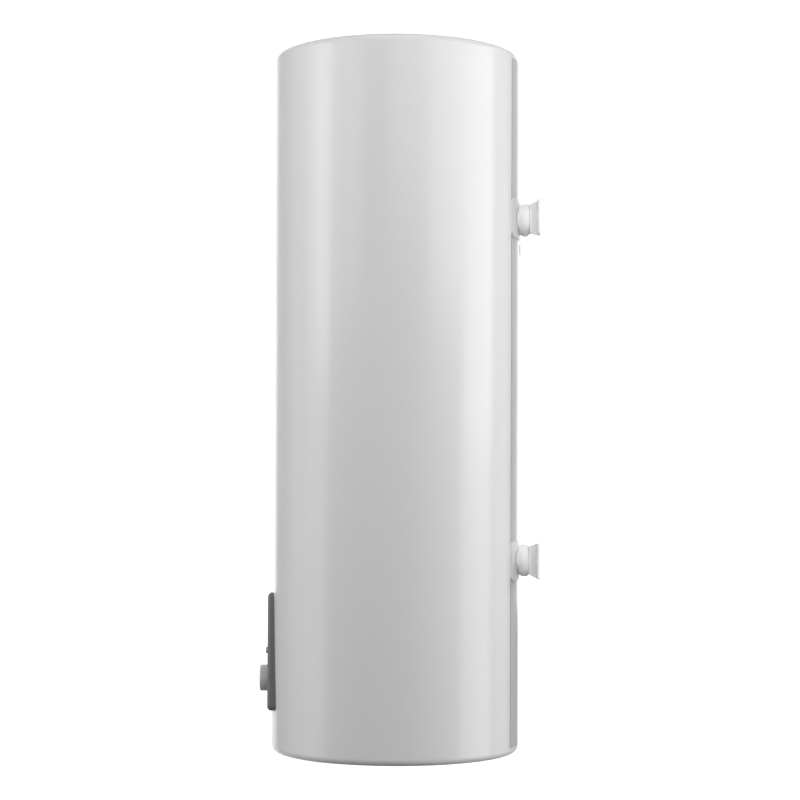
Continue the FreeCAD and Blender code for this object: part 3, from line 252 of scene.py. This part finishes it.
# %% Metals
finishes["zinc_steel"] = worked("zinc_plated_steel", "#C9CDD2", "#BFC1BE", 0.30, FULL_METAL,
                                grain=1.2, depth=0.008, cloud=6, gloss=0.08)
finishes["bare_steel"] = worked("drawn_mild_steel", "#A6A7A9", "#97989A", 0.38, FULL_METAL,
                                grain=0.8, depth=0.006, cloud=20, gloss=0.08,
                                stretch=(1, 1, 0.06))
finishes["nipple_steel"] = worked("nickel_plated_steel", "#CBC7BE", "#BFBBB2", 0.24, FULL_METAL,
                                  grain=0.8, depth=0.004, cloud=6, gloss=0.06)
finishes["anode_metal"] = worked("cast_magnesium", "#ACACA8", "#9A9A96", 0.56, FULL_METAL,
                                 grain=1.4, depth=0.05, cloud=12, gloss=0.10)
finishes["well_brass"] = worked("turned_brass", "#C6A45C", "#B89650", 0.30, FULL_METAL,
                                grain=0.6, depth=0.005, cloud=10, stretch=(1, 1, 12))
finishes["button_silver"] = worked("satin_silver_lacquer", "#D6D6D6", "#D0D0D0", 0.32, 0.2,
                                   grain=0.35, depth=0.003, cloud=4)
print("metals made")

# %% [markdown]
# ## Enamel, foam and circuit board
# The tanks are coated with blue vitreous enamel, fired until it runs, with darker specks. The
# foam round them is poured in place and shows its cells where it is cut. The boards are glass
# cloth in resin under a green mask, and the weave of the cloth shows through it.

# %% Inner finishes
finishes["tank_enamel"] = worked("blue_vitreous_enamel", "#2D4566", "#22354F", 0.22, IOR=1.52,
                                 grain=6.0, depth=0.02, cloud=3, gloss=0.05)


def press_in(material, height, strength, depth):
    """Give a surface a stronger relief in place of its fine grain."""
    tree = material.node_tree
    relief = add_node(tree, "ShaderNodeBump", Height=height, Strength=strength,
                      Distance=depth * MM)
    tree.links.new(relief.outputs["Normal"], tree.nodes["Principled BSDF"].inputs["Normal"])
    return material


def cell_foam(name, hex_colour, other_hex, cell):
    """Foam with open cells, each about as wide as cell says in millimetres."""
    material = worked(name, hex_colour, other_hex, 0.93, grain=0.8, depth=0.05, cloud=50, IOR=1.4)
    where = add_node(material.node_tree, "ShaderNodeTexCoord")
    cells = add_node(material.node_tree, "ShaderNodeTexVoronoi", {"feature": "DISTANCE_TO_EDGE"},
                     Vector=where.outputs["Object"], Scale=1 / (cell * MM))
    return press_in(material, cells.outputs["Distance"], 0.8, 0.3)


def glass_board(name, hex_colour, other_hex, thread):
    """Resin over a woven cloth, whose threads are as far apart as thread says."""
    material = worked(name, hex_colour, other_hex, 0.32, grain=2.0, depth=0.004, cloud=15,
                      IOR=1.52)
    tree = material.node_tree
    where = add_node(tree, "ShaderNodeTexCoord")
    weave = [add_node(tree, "ShaderNodeTexWave", {"bands_direction": axis},
                      Vector=where.outputs["Object"], Scale=0.05 / (thread * MM))
             for axis in ("X", "Z")]
    cloth = add_node(tree, "ShaderNodeMath", {"operation": "MULTIPLY"})
    for strand, socket in zip(weave, cloth.inputs):
        tree.links.new(strand.outputs["Fac"], socket)
    return press_in(material, cloth.outputs["Value"], 0.4, 0.03)


finishes["foam_yellow"] = cell_foam("poured_urethane_foam", "#DCCB96", "#CDBB84", 0.9)
finishes["board_green"] = glass_board("green_masked_glass_board", "#12502A", "#0E4323", 0.5)
print("inner finishes made")

# %% [markdown]
# ## Smoked lens and lit digits
# The lens is polished acrylic, tinted so that only lit segments show through. Acrylic bends light
# a little less than glass, so its IOR is 1.49. The segments glow, and need no other light.

# %% Lens and light
AMBER = "#FFB46A"
finishes["lens_smoke"], _, _ = new_finish("smoked_acrylic", "#3A3B3E", 0.04, IOR=1.49,
                                          Transmission_Weight=1.0)
segment_glow, _, _ = new_finish("lit_amber_segments", AMBER, 0.5, Emission_Strength=14.0,
                                Emission_Color=linear(AMBER))
print(len(finishes), "slots have a finish")

# %% [markdown]
# ## Finishes go on
# The record says which slot each piece takes its finish from, so one loop dresses the frame.
# The back sheet is the one exception: it shares the casing's slot but gets a thinner coat, painted
# a darker grey as shade for the rear, which turns away from the lights.

# %% Dress the frame
slot_of = {row["node"]: row["material_slot"] for row in frame["record"]["subparts"]}


# The back sheet takes the darker grey coat, which is painted shade.
def finish_of(node):
    return back_sheet_painted_shade_coat if node == "back_shell" else finishes[slot_of[node]]


for node, item in frame["nodes"].items():
    item.data.materials.clear()
    item.data.materials.append(finish_of(node))
print(len(slot_of), "frame pieces dressed")

# %% [markdown]
# ## Making a piece
# Every new piece ends the same way. Edges flatter than 30 degrees shade smoothly and sharper
# ones stay crisp, the finish goes on, the piece is put on the body it rides on, and the frame
# piece it stands for is hidden.

# %% Finish a form into a piece
SHARP = math.radians(30)
SAME_POINT = 0.002 * MM


def finish_piece(name, form, slot, body="heater", stands_for=None, look=None, turn_out=True):
    """Turn a bmesh into a visible piece. Leave turn_out off for a mesh whose normals are right."""
    if turn_out:
        bmesh.ops.recalc_face_normals(form, faces=form.faces)
    for edge in form.edges:
        edge.smooth = edge.calc_face_angle(math.pi) < SHARP
    for face in form.faces:
        face.smooth = True
    mesh = bpy.data.meshes.new(name)
    form.to_mesh(mesh)
    form.free()
    piece = bpy.data.objects.new(name, mesh)
    scene.collection.objects.link(piece)
    mesh.materials.append(look or finishes[slot])
    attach(piece, body)
    if stands_for:
        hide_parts(stands_for)
    print(name, len(mesh.polygons), "faces on", body)
    return piece


# %% [markdown]
# ## The outside, smoothed
# The frame's pieces are made of loose flat triangles, and a gloss coat would show every one of
# them. A copy with its points merged can shade smoothly round the ends and rims. Weighted
# normals let the large flat faces win, so the flats stay flat right up to their rounded edges.

# %% Smooth twins of the outer pieces
CORNERS = ("lower_left", "lower_right", "upper_left", "upper_right")
OUTER = ["front_shell", "back_shell", "top_cap", "bottom_cap", "mount_pads",
         *(f"hanger_{corner}" for corner in CORNERS), *(f"drum_{corner}" for corner in CORNERS),
         "hanger_bolts", "hanger_washers", "service_door_left", "service_door_right",
         "hot_ring", "cold_ring", "gland_body", "gland_nut", "panel_fascia", "display_lens",
         "knob_pointer", "button_cap"]


def smooth_twin(node):
    """A merged copy of a frame piece, which stands for it."""
    form = bmesh.new()
    form.from_mesh(frame["nodes"][node].data)
    bmesh.ops.remove_doubles(form, verts=form.verts, dist=SAME_POINT)
    twin = finish_piece(f"{node}_skin", form, slot_of[node], frame["nodes"][node]["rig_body"],
                        node, finish_of(node), turn_out=False)
    flats = twin.modifiers.new("flats", "WEIGHTED_NORMAL")
    flats.keep_sharp = True
    return twin


for node in OUTER:
    smooth_twin(node)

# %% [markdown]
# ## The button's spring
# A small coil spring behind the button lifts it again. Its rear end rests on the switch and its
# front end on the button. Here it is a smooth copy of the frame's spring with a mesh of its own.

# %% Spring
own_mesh(smooth_twin("button_spring"))

# %% [markdown]
# ## The temperature knob
# The knob is a hollow moulding with a shallow dish in its face and fine grips round its side.
# Half of its section is drawn once and spun round the shaft. Every third column of points on the
# side is then drawn in towards the axis, which leaves a ring of grooves, as a cutter would.

# %% Knob
KNOB_COLUMNS = 120
GROOVE_EVERY = 3
GROOVE_FLOOR = 0.972  # as a share of the radius
knob_low, knob_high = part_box("temperature_knob")
knob_centre = (knob_low + knob_high) / 2
knob_radius = (knob_high.x - knob_low.x) / 2
knob_tall = knob_high.y - knob_low.y
dish = 0.4 * MM
wall = 2.2 * MM
socket = 3.05 * MM
hub = 6.0 * MM
hub_drop = 2.0 * MM
lead_in = 0.4 * MM
dish_edge = knob_radius - 2.6 * MM
roof = knob_tall - dish - wall
RIM = [(0, 1.5), (0.35, 0.6), (1.0, 0.12), (1.6, 0), (2.0, 0)]  # in from the side, down, mm
inner_line = [(0, roof), (socket, roof), (socket, hub_drop), (hub, hub_drop), (hub, roof - MM),
              (knob_radius - wall, roof - MM), (knob_radius - wall, 0)]
outer_line = [(knob_radius - lead_in, 0), (knob_radius, lead_in),
              *((knob_radius - inward * MM, knob_tall - down * MM) for inward, down in RIM),
              (dish_edge, knob_tall - dish), (0, knob_tall - dish)]


def spun(outline, steps, centre, toward):
    """Spin a half section, given as radius and height, round an axis through the centre."""
    form = bmesh.new()
    points = [form.verts.new((radius, 0, height)) for radius, height in outline]
    lines = [form.edges.new(pair) for pair in zip(points, points[1:])]
    bmesh.ops.spin(form, geom=points + lines, cent=(0, 0, 0), axis=(0, 0, 1), steps=steps,
                   angle=math.tau, use_merge=True, use_duplicate=False)
    bmesh.ops.remove_doubles(form, verts=form.verts, dist=SAME_POINT)
    turn = Vector((0, 0, 1)).rotation_difference(Vector(toward)).to_matrix().to_4x4()
    bmesh.ops.transform(form, matrix=Matrix.Translation(centre) @ turn, verts=form.verts)
    return form


def around(centre, vert):
    """The bearing of a point round an axis along Y, and its distance from that axis."""
    out = vert.co - centre
    return math.atan2(out.z, out.x), math.hypot(out.x, out.z)


def is_grooved(vert):
    """Whether a point is on the knob's side, clear of its ends, and in a column to draw in."""
    bearing, out = around(knob_centre, vert)
    on_side = out > knob_radius - 0.5 * MM
    clear = knob_low.y + 0.5 * MM < vert.co.y < knob_high.y - 0.3 * MM
    return on_side and clear and round(bearing / math.tau * KNOB_COLUMNS) % GROOVE_EVERY == 0


knob = spun(inner_line + outer_line, KNOB_COLUMNS, (knob_centre.x, knob_high.y, knob_centre.z),
            (0, -1, 0))
grooved = [vert for vert in knob.verts if is_grooved(vert)]
bmesh.ops.scale(knob, vec=(GROOVE_FLOOR, 1, GROOVE_FLOOR), verts=grooved,
                space=Matrix.Translation(-knob_centre))
finish_piece("knob_moulding", knob, "knob_grey", "knob", "temperature_knob")

# %% [markdown]
# ## Threaded pipe ends
# Both pipes end in a half-inch parallel pipe thread. A real thread is one ridge that climbs as it
# turns, so a single ridge is drawn, and the spin lifts it by a little at each step. Two flat cuts
# trim the ragged start and end, and the bore and the plain pipe are bridged on.

# %% Thread sizes
PITCH = 1.814 * MM
THREAD_TALL = 18 * MM
CREST = 10.47 * MM
ROOT = 9.32 * MM  # like the crest, a radius
PIPE = 10.0 * MM
BORE = 7.0 * MM
TURN_STEPS = 36
TURNS = math.ceil(THREAD_TALL / PITCH) + 3
RIDGE = [(ROOT, 0), (ROOT, 0.14), (CREST, 0.42), (CREST, 0.58), (ROOT, 0.86), (ROOT, 1)]
NEXT_TURN = 0.005 * MM  # where one turn's foot meets the next, points this close are merged


def loop_at(form, height, inner=0.0):
    """The open edges that lie at one height, no nearer the axis than the inner radius."""
    return [edge for edge in form.edges if edge.is_boundary
            and all(abs(v.co.z - height) < 0.01 * MM for v in edge.verts)
            and all(math.hypot(v.co.x, v.co.y) > inner for v in edge.verts)]


def tube_from(form, radius, low, high):
    """A plain tube wall, open at both ends."""
    ring = bmesh.ops.create_circle(form, segments=TURN_STEPS, radius=radius)["verts"]
    bmesh.ops.translate(form, verts=ring, vec=(0, 0, low))
    edges = list({edge for vert in ring for edge in vert.link_edges})
    raised = bmesh.ops.extrude_edge_only(form, edges=edges)["geom"]
    lifted = [item for item in raised if isinstance(item, bmesh.types.BMVert)]
    bmesh.ops.translate(form, verts=lifted, vec=(0, 0, high - low))


def pipe_end(node, slot):
    """A pipe end in the place of a frame piece: thread, plain pipe and bore in one closed form."""
    low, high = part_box(node)
    centre = (low + high) / 2
    top, cut = high.z - low.z, THREAD_TALL
    form = bmesh.new()
    points = [form.verts.new((radius, 0, (share - 2) * PITCH)) for radius, share in RIDGE]
    lines = [form.edges.new(pair) for pair in zip(points, points[1:])]
    bmesh.ops.spin(form, geom=points + lines, cent=(0, 0, 0), axis=(0, 0, 1),
                   dvec=(0, 0, PITCH / TURN_STEPS), angle=math.tau * TURNS,
                   steps=TURN_STEPS * TURNS, use_merge=False, use_duplicate=False)
    bmesh.ops.remove_doubles(form, verts=form.verts, dist=NEXT_TURN)
    for height, way in ((0, -1), (cut, 1)):
        whole = form.verts[:] + form.edges[:] + form.faces[:]
        bmesh.ops.bisect_plane(form, geom=whole, plane_co=(0, 0, height), plane_no=(0, 0, way),
                               clear_outer=True, dist=SAME_POINT)
    outer_foot, outer_top = loop_at(form, 0), loop_at(form, cut)
    tube_from(form, PIPE, cut, top)
    plain_foot = [edge for edge in loop_at(form, cut) if edge not in outer_top]
    bmesh.ops.bridge_loops(form, edges=outer_top + plain_foot)
    plain_top = loop_at(form, top)
    tube_from(form, BORE, 0, top)
    bore_foot = [edge for edge in loop_at(form, 0) if edge not in outer_foot]
    bore_top = [edge for edge in loop_at(form, top) if edge not in plain_top]
    bmesh.ops.bridge_loops(form, edges=outer_foot + bore_foot)
    bmesh.ops.bridge_loops(form, edges=plain_top + bore_top)
    bmesh.ops.transform(form, matrix=Matrix.Translation((centre.x, centre.y, low.z)),
                        verts=form.verts)
    print(node, "open edges left:", sum(edge.is_boundary for edge in form.edges))
    return finish_piece(f"{node}_thread", form, slot, "heater", node)


for node in ("hot_nipple", "cold_nipple"):
    pipe_end(node, "nipple_steel")

# %% [markdown]
# ## Door screws
# Each service door is held by three pan-head screws. The head and shank are one spun section. The
# cross in the head is punched into the cold steel, so here two tapered blades are cut away.

# %% Screws
HEAD = 3.6 * MM
SHANK = 1.9 * MM
DOME = [(0.45, 0.04), (0.78, 0.25), (0.95, 0.7), (1, 1.1)]  # share of the head, drop in mm
BLADE_LONG = 3.6 * MM
BLADE_WIDE = 0.75 * MM
BLADE_TIP = (0.45, 0.6, 1)
CROSS_DEEP = 1.1 * MM
SCREW_CIRCLE = 61 * MM
SCREWS_A_DOOR = 3
screw_low, screw_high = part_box("door_screws")
door_low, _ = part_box("service_door_right")
head_tall = door_low.z - screw_low.z
screw_tall = screw_high.z - screw_low.z
screw_outline = [(0, 0), *((HEAD * share, drop * MM) for share, drop in DOME),
                 (HEAD, head_tall), (SHANK, head_tall), (SHANK, screw_tall - MM),
                 (SHANK * 0.6, screw_tall), (0, screw_tall)]


def loose_object(name, form):
    """A plain object, for work that needs more than a bmesh."""
    mesh = bpy.data.meshes.new(name)
    form.to_mesh(mesh)
    form.free()
    item = bpy.data.objects.new(name, mesh)
    scene.collection.objects.link(item)
    return item


def cross_punch(depth):
    """Two crossed blades that narrow towards their tip."""
    form = bmesh.new()
    for quarter in (0, 90):
        blade = bmesh.ops.create_cube(form, size=1.0)["verts"]
        bmesh.ops.scale(form, vec=(BLADE_LONG, BLADE_WIDE, 2 * depth), verts=blade)
        tip = [vert for vert in blade if vert.co.z > 0]
        bmesh.ops.scale(form, vec=BLADE_TIP, verts=tip)
        bmesh.ops.rotate(form, verts=blade, cent=(0, 0, 0),
                         matrix=Matrix.Rotation(math.radians(quarter), 3, "Z"))
    return loose_object("cross_punch", form)


def punched_screw():
    """One screw with its cross, standing head down at the origin."""
    blank = loose_object("screw_blank", spun(screw_outline, 32, (0, 0, 0), (0, 0, 1)))
    normals = bmesh.new()
    normals.from_mesh(blank.data)
    bmesh.ops.recalc_face_normals(normals, faces=normals.faces)
    normals.to_mesh(blank.data)
    normals.free()
    punch = cross_punch(CROSS_DEEP)
    cut = blank.modifiers.new("cross", "BOOLEAN")
    cut.operation = "DIFFERENCE"
    cut.solver = "EXACT"
    cut.use_self = True
    cut.object = punch
    cleaned = bpy.data.meshes.new_from_object(
        blank.evaluated_get(bpy.context.evaluated_depsgraph_get()))
    bpy.data.objects.remove(blank)
    bpy.data.objects.remove(punch)
    return cleaned


screw_mesh = punched_screw()
screws = bmesh.new()
for node, side in (("service_door_left", -1), ("service_door_right", 1)):
    low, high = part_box(node)
    hub_x, hub_y = (low.x + high.x) / 2, (low.y + high.y) / 2
    for spot in range(SCREWS_A_DOOR):
        bearing = math.radians(90 + 360 / SCREWS_A_DOOR * spot)
        start = len(screws.verts)
        screws.from_mesh(screw_mesh)
        screws.verts.ensure_lookup_table()
        turn = Matrix.Rotation(0.7 * spot + side, 4, "Z")
        spot_at = (hub_x + SCREW_CIRCLE * math.cos(bearing),
                   hub_y + SCREW_CIRCLE * math.sin(bearing), screw_low.z)
        bmesh.ops.transform(screws, matrix=Matrix.Translation(spot_at) @ turn,
                            verts=screws.verts[start:])
finish_piece("door_screws_punched", screws, "zinc_steel", "heater", "door_screws",
             turn_out=False)

# %% [markdown]
# ## The display
# Behind the lens a two-digit display shows the water's temperature. Each digit has seven bars in
# fixed places, named a to g from the top round to the middle, and only the bars it needs are
# lit. A bar is a small block with its ends bevelled to points.

# %% Lit segments
DIGIT_WIDE = 8.0 * MM
DIGIT_TALL = 15.0 * MM
BAR = 1.5 * MM
GAP = 0.35 * MM
BARS = {"a": (0, 1, True), "b": (0.5, 0.5, False), "c": (0.5, -0.5, False), "d": (0, -1, True),
        "e": (-0.5, -0.5, False), "f": (-0.5, 0.5, False), "g": (0, 0, True)}
LIT = {"6": "acdefg", "0": "abcdef"}
SEGMENT_TALL = 0.1 * MM
lens_low, lens_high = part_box("display_lens")
module_low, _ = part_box("display_module")
lens_centre = (lens_low + lens_high) / 2


def add_bar(form, across, up, flat, digit_x):
    """One bar of a digit, across and up from its middle in widths and half heights."""
    long = (DIGIT_WIDE if flat else DIGIT_TALL / 2) - GAP
    bar = bmesh.ops.create_cube(form, size=1.0)["verts"]
    bmesh.ops.scale(form, vec=(long, SEGMENT_TALL, BAR), verts=bar)
    ends = [edge for edge in {e for vert in bar for e in vert.link_edges}
            if abs(edge.verts[0].co.y - edge.verts[1].co.y) > SEGMENT_TALL / 2]
    grown = bmesh.ops.bevel(form, geom=ends, offset=BAR * 0.48, segments=1, profile=0.5,
                            affect="EDGES", material=-1)["verts"]
    shape = [vert for vert in form.verts if vert in set(grown)]
    if not flat:
        bmesh.ops.rotate(form, verts=shape, cent=(0, 0, 0),
                         matrix=Matrix.Rotation(math.radians(90), 3, "Y"))
    place = (digit_x + across * DIGIT_WIDE, module_low.y - SEGMENT_TALL / 2,
             lens_centre.z + up * DIGIT_TALL / 2)
    bmesh.ops.translate(form, verts=shape, vec=place)


digits = bmesh.new()
for digit, side in (("6", -1), ("0", 1)):
    digit_x = lens_centre.x + side * 0.72 * DIGIT_WIDE
    for bar in LIT[digit]:
        add_bar(digits, *BARS[bar], digit_x)
finish_piece("display_digits", digits, "lens_smoke", look=segment_glow)

# %% [markdown]
# ## The dial's printing
# Round the knob a scale of ticks is pad-printed, long at each of its four plain numbers and
# short between. Ink has almost no thickness, so each mark is a block a few hundredths of a
# millimetre proud of the panel. Text is turned into a mesh first, and then placed, because only
# a mesh keeps its place in its own points.

# %% Ticks and numbers
INK = 0.06 * MM
SWEEP = 135
TICKS = 19
TICKS_START = 18.4 * MM
LONG_TICK = (0.7 * MM, 2.8 * MM)
SHORT_TICK = (0.4 * MM, 1.6 * MM)
NUMBERS = {-135: "30", -45: "45", 45: "60", 135: "75"}
NUMBER_TALL = 4.2 * MM
NUMBER_CIRCLE = 25.2 * MM
fascia_low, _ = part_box("panel_fascia")
face_y = fascia_low.y
DIAL = Vector((knob_centre.x, face_y - INK / 2, knob_centre.z))
dial = bmesh.new()
for tick in range(TICKS):
    angle = -SWEEP + 2 * SWEEP * tick / (TICKS - 1)
    wide, long = SHORT_TICK if tick % 6 else LONG_TICK
    mark = bmesh.ops.create_cube(dial, size=1.0)["verts"]
    bmesh.ops.scale(dial, vec=(wide, INK, long), verts=mark)
    bmesh.ops.translate(dial, verts=mark, vec=(0, 0, TICKS_START + long / 2))
    bmesh.ops.rotate(dial, verts=mark, cent=(0, 0, 0),
                     matrix=Matrix.Rotation(math.radians(angle), 3, "Y"))
    bmesh.ops.translate(dial, verts=mark, vec=DIAL)


def add_number(form, text, size, at):
    """Upright figures, centred on a place and facing forward."""
    letters = bpy.data.curves.new("number", "FONT")
    letters.body = text
    letters.size = size
    letters.align_x = "CENTER"
    letters.align_y = "CENTER"
    letters.extrude = INK / 2
    letters.resolution_u = 4
    stand_in = bpy.data.objects.new("number", letters)
    scene.collection.objects.link(stand_in)
    bpy.context.view_layer.update()
    flat = bpy.data.meshes.new_from_object(
        stand_in.evaluated_get(bpy.context.evaluated_depsgraph_get()))
    flat.transform(Matrix.Translation(at) @ Matrix.Rotation(math.radians(90), 4, "X"))
    form.from_mesh(flat)
    bpy.data.objects.remove(stand_in)


for angle, number in NUMBERS.items():
    turned = math.radians(angle)
    spot_at = DIAL + Vector((math.sin(turned), 0, math.cos(turned))) * NUMBER_CIRCLE
    add_number(dial, number, NUMBER_TALL, spot_at)
finish_piece("dial_print", dial, "knob_grey", turn_out=False)

# %% [markdown]
# ## The power mark
# Above the push button is the usual mark for power: a ring left open at the top with a short bar
# in the gap. The ring is a small square section, spun for most of a turn.

# %% Power mark
LINE = 0.5 * MM
MARK_RADIUS = 2.1 * MM
MARK_BAR = 2.4 * MM
MARK_BAR_UP = 1.7 * MM
MARK_OPEN = 60
ABOVE_BUTTON = 6.2 * MM
button_low, button_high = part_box("button_cap")
MARK = Vector(((button_low.x + button_high.x) / 2, face_y - INK / 2, button_high.z + ABOVE_BUTTON))
mark_form = bmesh.new()
section = bmesh.ops.create_grid(mark_form, x_segments=1, y_segments=1, size=0.5)["verts"]
bmesh.ops.scale(mark_form, vec=(LINE, INK, 1), verts=section)
bmesh.ops.translate(mark_form, verts=section, vec=(MARK_RADIUS, 0, 0))
bmesh.ops.rotate(mark_form, verts=section, cent=(0, 0, 0),
                 matrix=Matrix.Rotation(math.radians(-MARK_OPEN), 3, "Y"))
bmesh.ops.spin(mark_form, geom=mark_form.faces[:], cent=(0, 0, 0), axis=(0, 1, 0),
               angle=math.radians(360 - MARK_OPEN), steps=40, use_merge=False,
               use_duplicate=False)
stroke = bmesh.ops.create_cube(mark_form, size=1.0)["verts"]
bmesh.ops.scale(mark_form, vec=(LINE, INK, MARK_BAR), verts=stroke)
bmesh.ops.translate(mark_form, verts=stroke, vec=(0, 0, MARK_BAR_UP))
bmesh.ops.translate(mark_form, verts=mark_form.verts, vec=MARK)
finish_piece("power_mark", mark_form, "knob_grey")

# %% [markdown]
# ## Studio
# A gloss white object shows its studio more than itself. A narrow bright softbox in front draws
# the band near the front edge, a wide one behind it lifts the rear, and the space between stays
# dim, which gives the rounded end its soft grey middle. The lights hang above the middle, so
# the casing darkens towards its foot. Lights are hidden from the camera but not from the gloss.

# %% Softboxes
scene.view_settings.view_transform = "Standard"
world = bpy.data.worlds.new("studio")
scene.world = world
world.use_nodes = True
background = world.node_tree.nodes["Background"]
background.inputs["Color"].default_value = (1, 1, 1, 1)
background.inputs["Strength"].default_value = 0.155
AIM_UP = 0.42
TARGET = Vector((end_x, mid_y, foot_z + AIM_UP))


def softbox(name, bearing, height, away, wide, tall, power):
    """An area light aimed at the casing's middle. Its bearing is in degrees from the camera
    towards the wall, its height is above its aim, and its power is in watts."""
    turned = math.radians(bearing)
    light = bpy.data.lights.new(name, "AREA")
    light.shape = "RECTANGLE"
    light.size = wide
    light.size_y = tall
    light.energy = power
    lamp = bpy.data.objects.new(name, light)
    scene.collection.objects.link(lamp)
    lamp.location = TARGET + Vector((math.cos(turned) * away, math.sin(turned) * away, height))
    lamp.rotation_euler = (TARGET - lamp.location).to_track_quat("-Z", "Y").to_euler()
    lamp.visible_camera = False
    return lamp


softbox("strip_front_core", -69, 0.62, 2.0, 0.55, 1.0, 3.4)
softbox("strip_front_high", -73, 0.62, 2.0, 1.15, 1.0, 4.8)
softbox("strip_front_low", -75, -0.42, 2.0, 0.90, 1.0, 2.0)
softbox("front_edge", -87, 0.15, 2.0, 1.70, 2.0, 7.4)
softbox("front_quarter", -45, 0.75, 2.0, 1.0, 1.0, 4.2)
softbox("camera_fill", 11, 0.95, 2.0, 1.4, 1.0, 5.0)
softbox("rear_quarter", 45, 0.75, 2.0, 1.2, 1.0, 9.0)
softbox("rear_key_high", 80, 0.50, 2.0, 1.3, 1.0, 13.0)
softbox("rear_key_low", 77, -0.42, 2.0, 1.2, 1.0, 7.4)
softbox("wall_side", 114, 0.10, 2.0, 0.80, 2.0, 1.8)
softbox("overhead", 0, 1.3, 0.9, 1.0, 1.0, 3.8)
softbox("far_end_front", -162, 0.4, 2.3, 1.2, 1.6, 8.0)
softbox("far_end_rear", 162, 0.4, 2.3, 1.2, 1.6, 8.0)

# %% [markdown]
# The hangers stand in the casing's shade. Light linking gives them a lamp of their own: it
# shines only on what is in its receiver collection, so the casing's careful greys stay as they
# are.

# %% Hanger light
receivers = bpy.data.collections.new("lit_by_hanger_light")
for corner in CORNERS:
    for part in (f"hanger_{corner}_skin", f"drum_{corner}_skin"):
        receivers.objects.link(bpy.data.objects[part])
hanger_light = softbox("hanger_light", 8, 0.5, 2.0, 1.2, 1.2, 20.0)
hanger_light.light_linking.receiver_collection = receivers

# %% [markdown]
# ## Backdrop and floor
# The wall behind the set is lit evenly white. A white tent closes the view on every other side.
# The floor is pale and well below the heater, which hangs at head height. Only the camera sees
# the tent and the floor, so neither throws any light of its own.

# %% Stage
BACKDROP_X = -3.4
BACKDROP_FRONT = 0.72  # how far its middle is moved towards the heater's front
BACKDROP_HALF = (4.0, 2.05, 1)
FLOOR_Z = -2.2
FLOOR_HALF = 9.0
TENT_RADIUS = 8.5
WHITE = "#FFFFFF"
MATT = 0.9


def stage_piece(name, form, hex_colour, roughness, glow=0.0):
    """Part of the set: painted, with a white glow of its own, and left out of the heater."""
    mesh = bpy.data.meshes.new(name)
    form.to_mesh(mesh)
    form.free()
    item = bpy.data.objects.new(name, mesh)
    scene.collection.objects.link(item)
    look, _, _ = new_finish(f"{name}_paint", hex_colour, roughness, Emission_Strength=glow,
                            Emission_Color=(1, 1, 1, 1))
    mesh.materials.append(look)
    return item


upright = bmesh.new()
bmesh.ops.create_grid(upright, x_segments=1, y_segments=1, size=1.0)
bmesh.ops.scale(upright, vec=BACKDROP_HALF, verts=upright.verts)
stand_up = Matrix.Rotation(math.radians(90), 4, "Y")
set_back = Matrix.Translation((BACKDROP_X, mid_y - BACKDROP_FRONT, 0))
bmesh.ops.transform(upright, matrix=set_back @ stand_up, verts=upright.verts)
stage_piece("backdrop", upright, WHITE, MATT, 1.0)

ground = bmesh.new()
bmesh.ops.create_grid(ground, x_segments=1, y_segments=1, size=FLOOR_HALF)
bmesh.ops.translate(ground, verts=ground.verts, vec=(0, mid_y, FLOOR_Z))
floor = stage_piece("floor", ground, "#E6E6E4", 0.6, 0.62)

shell = bmesh.new()
bmesh.ops.create_uvsphere(shell, u_segments=48, v_segments=24, radius=TENT_RADIUS)
tent = stage_piece("tent", shell, WHITE, MATT, 1.0)
for item in (floor, tent):
    item.visible_diffuse = False
    item.visible_glossy = False
    item.visible_transmission = False
    item.visible_shadow = False
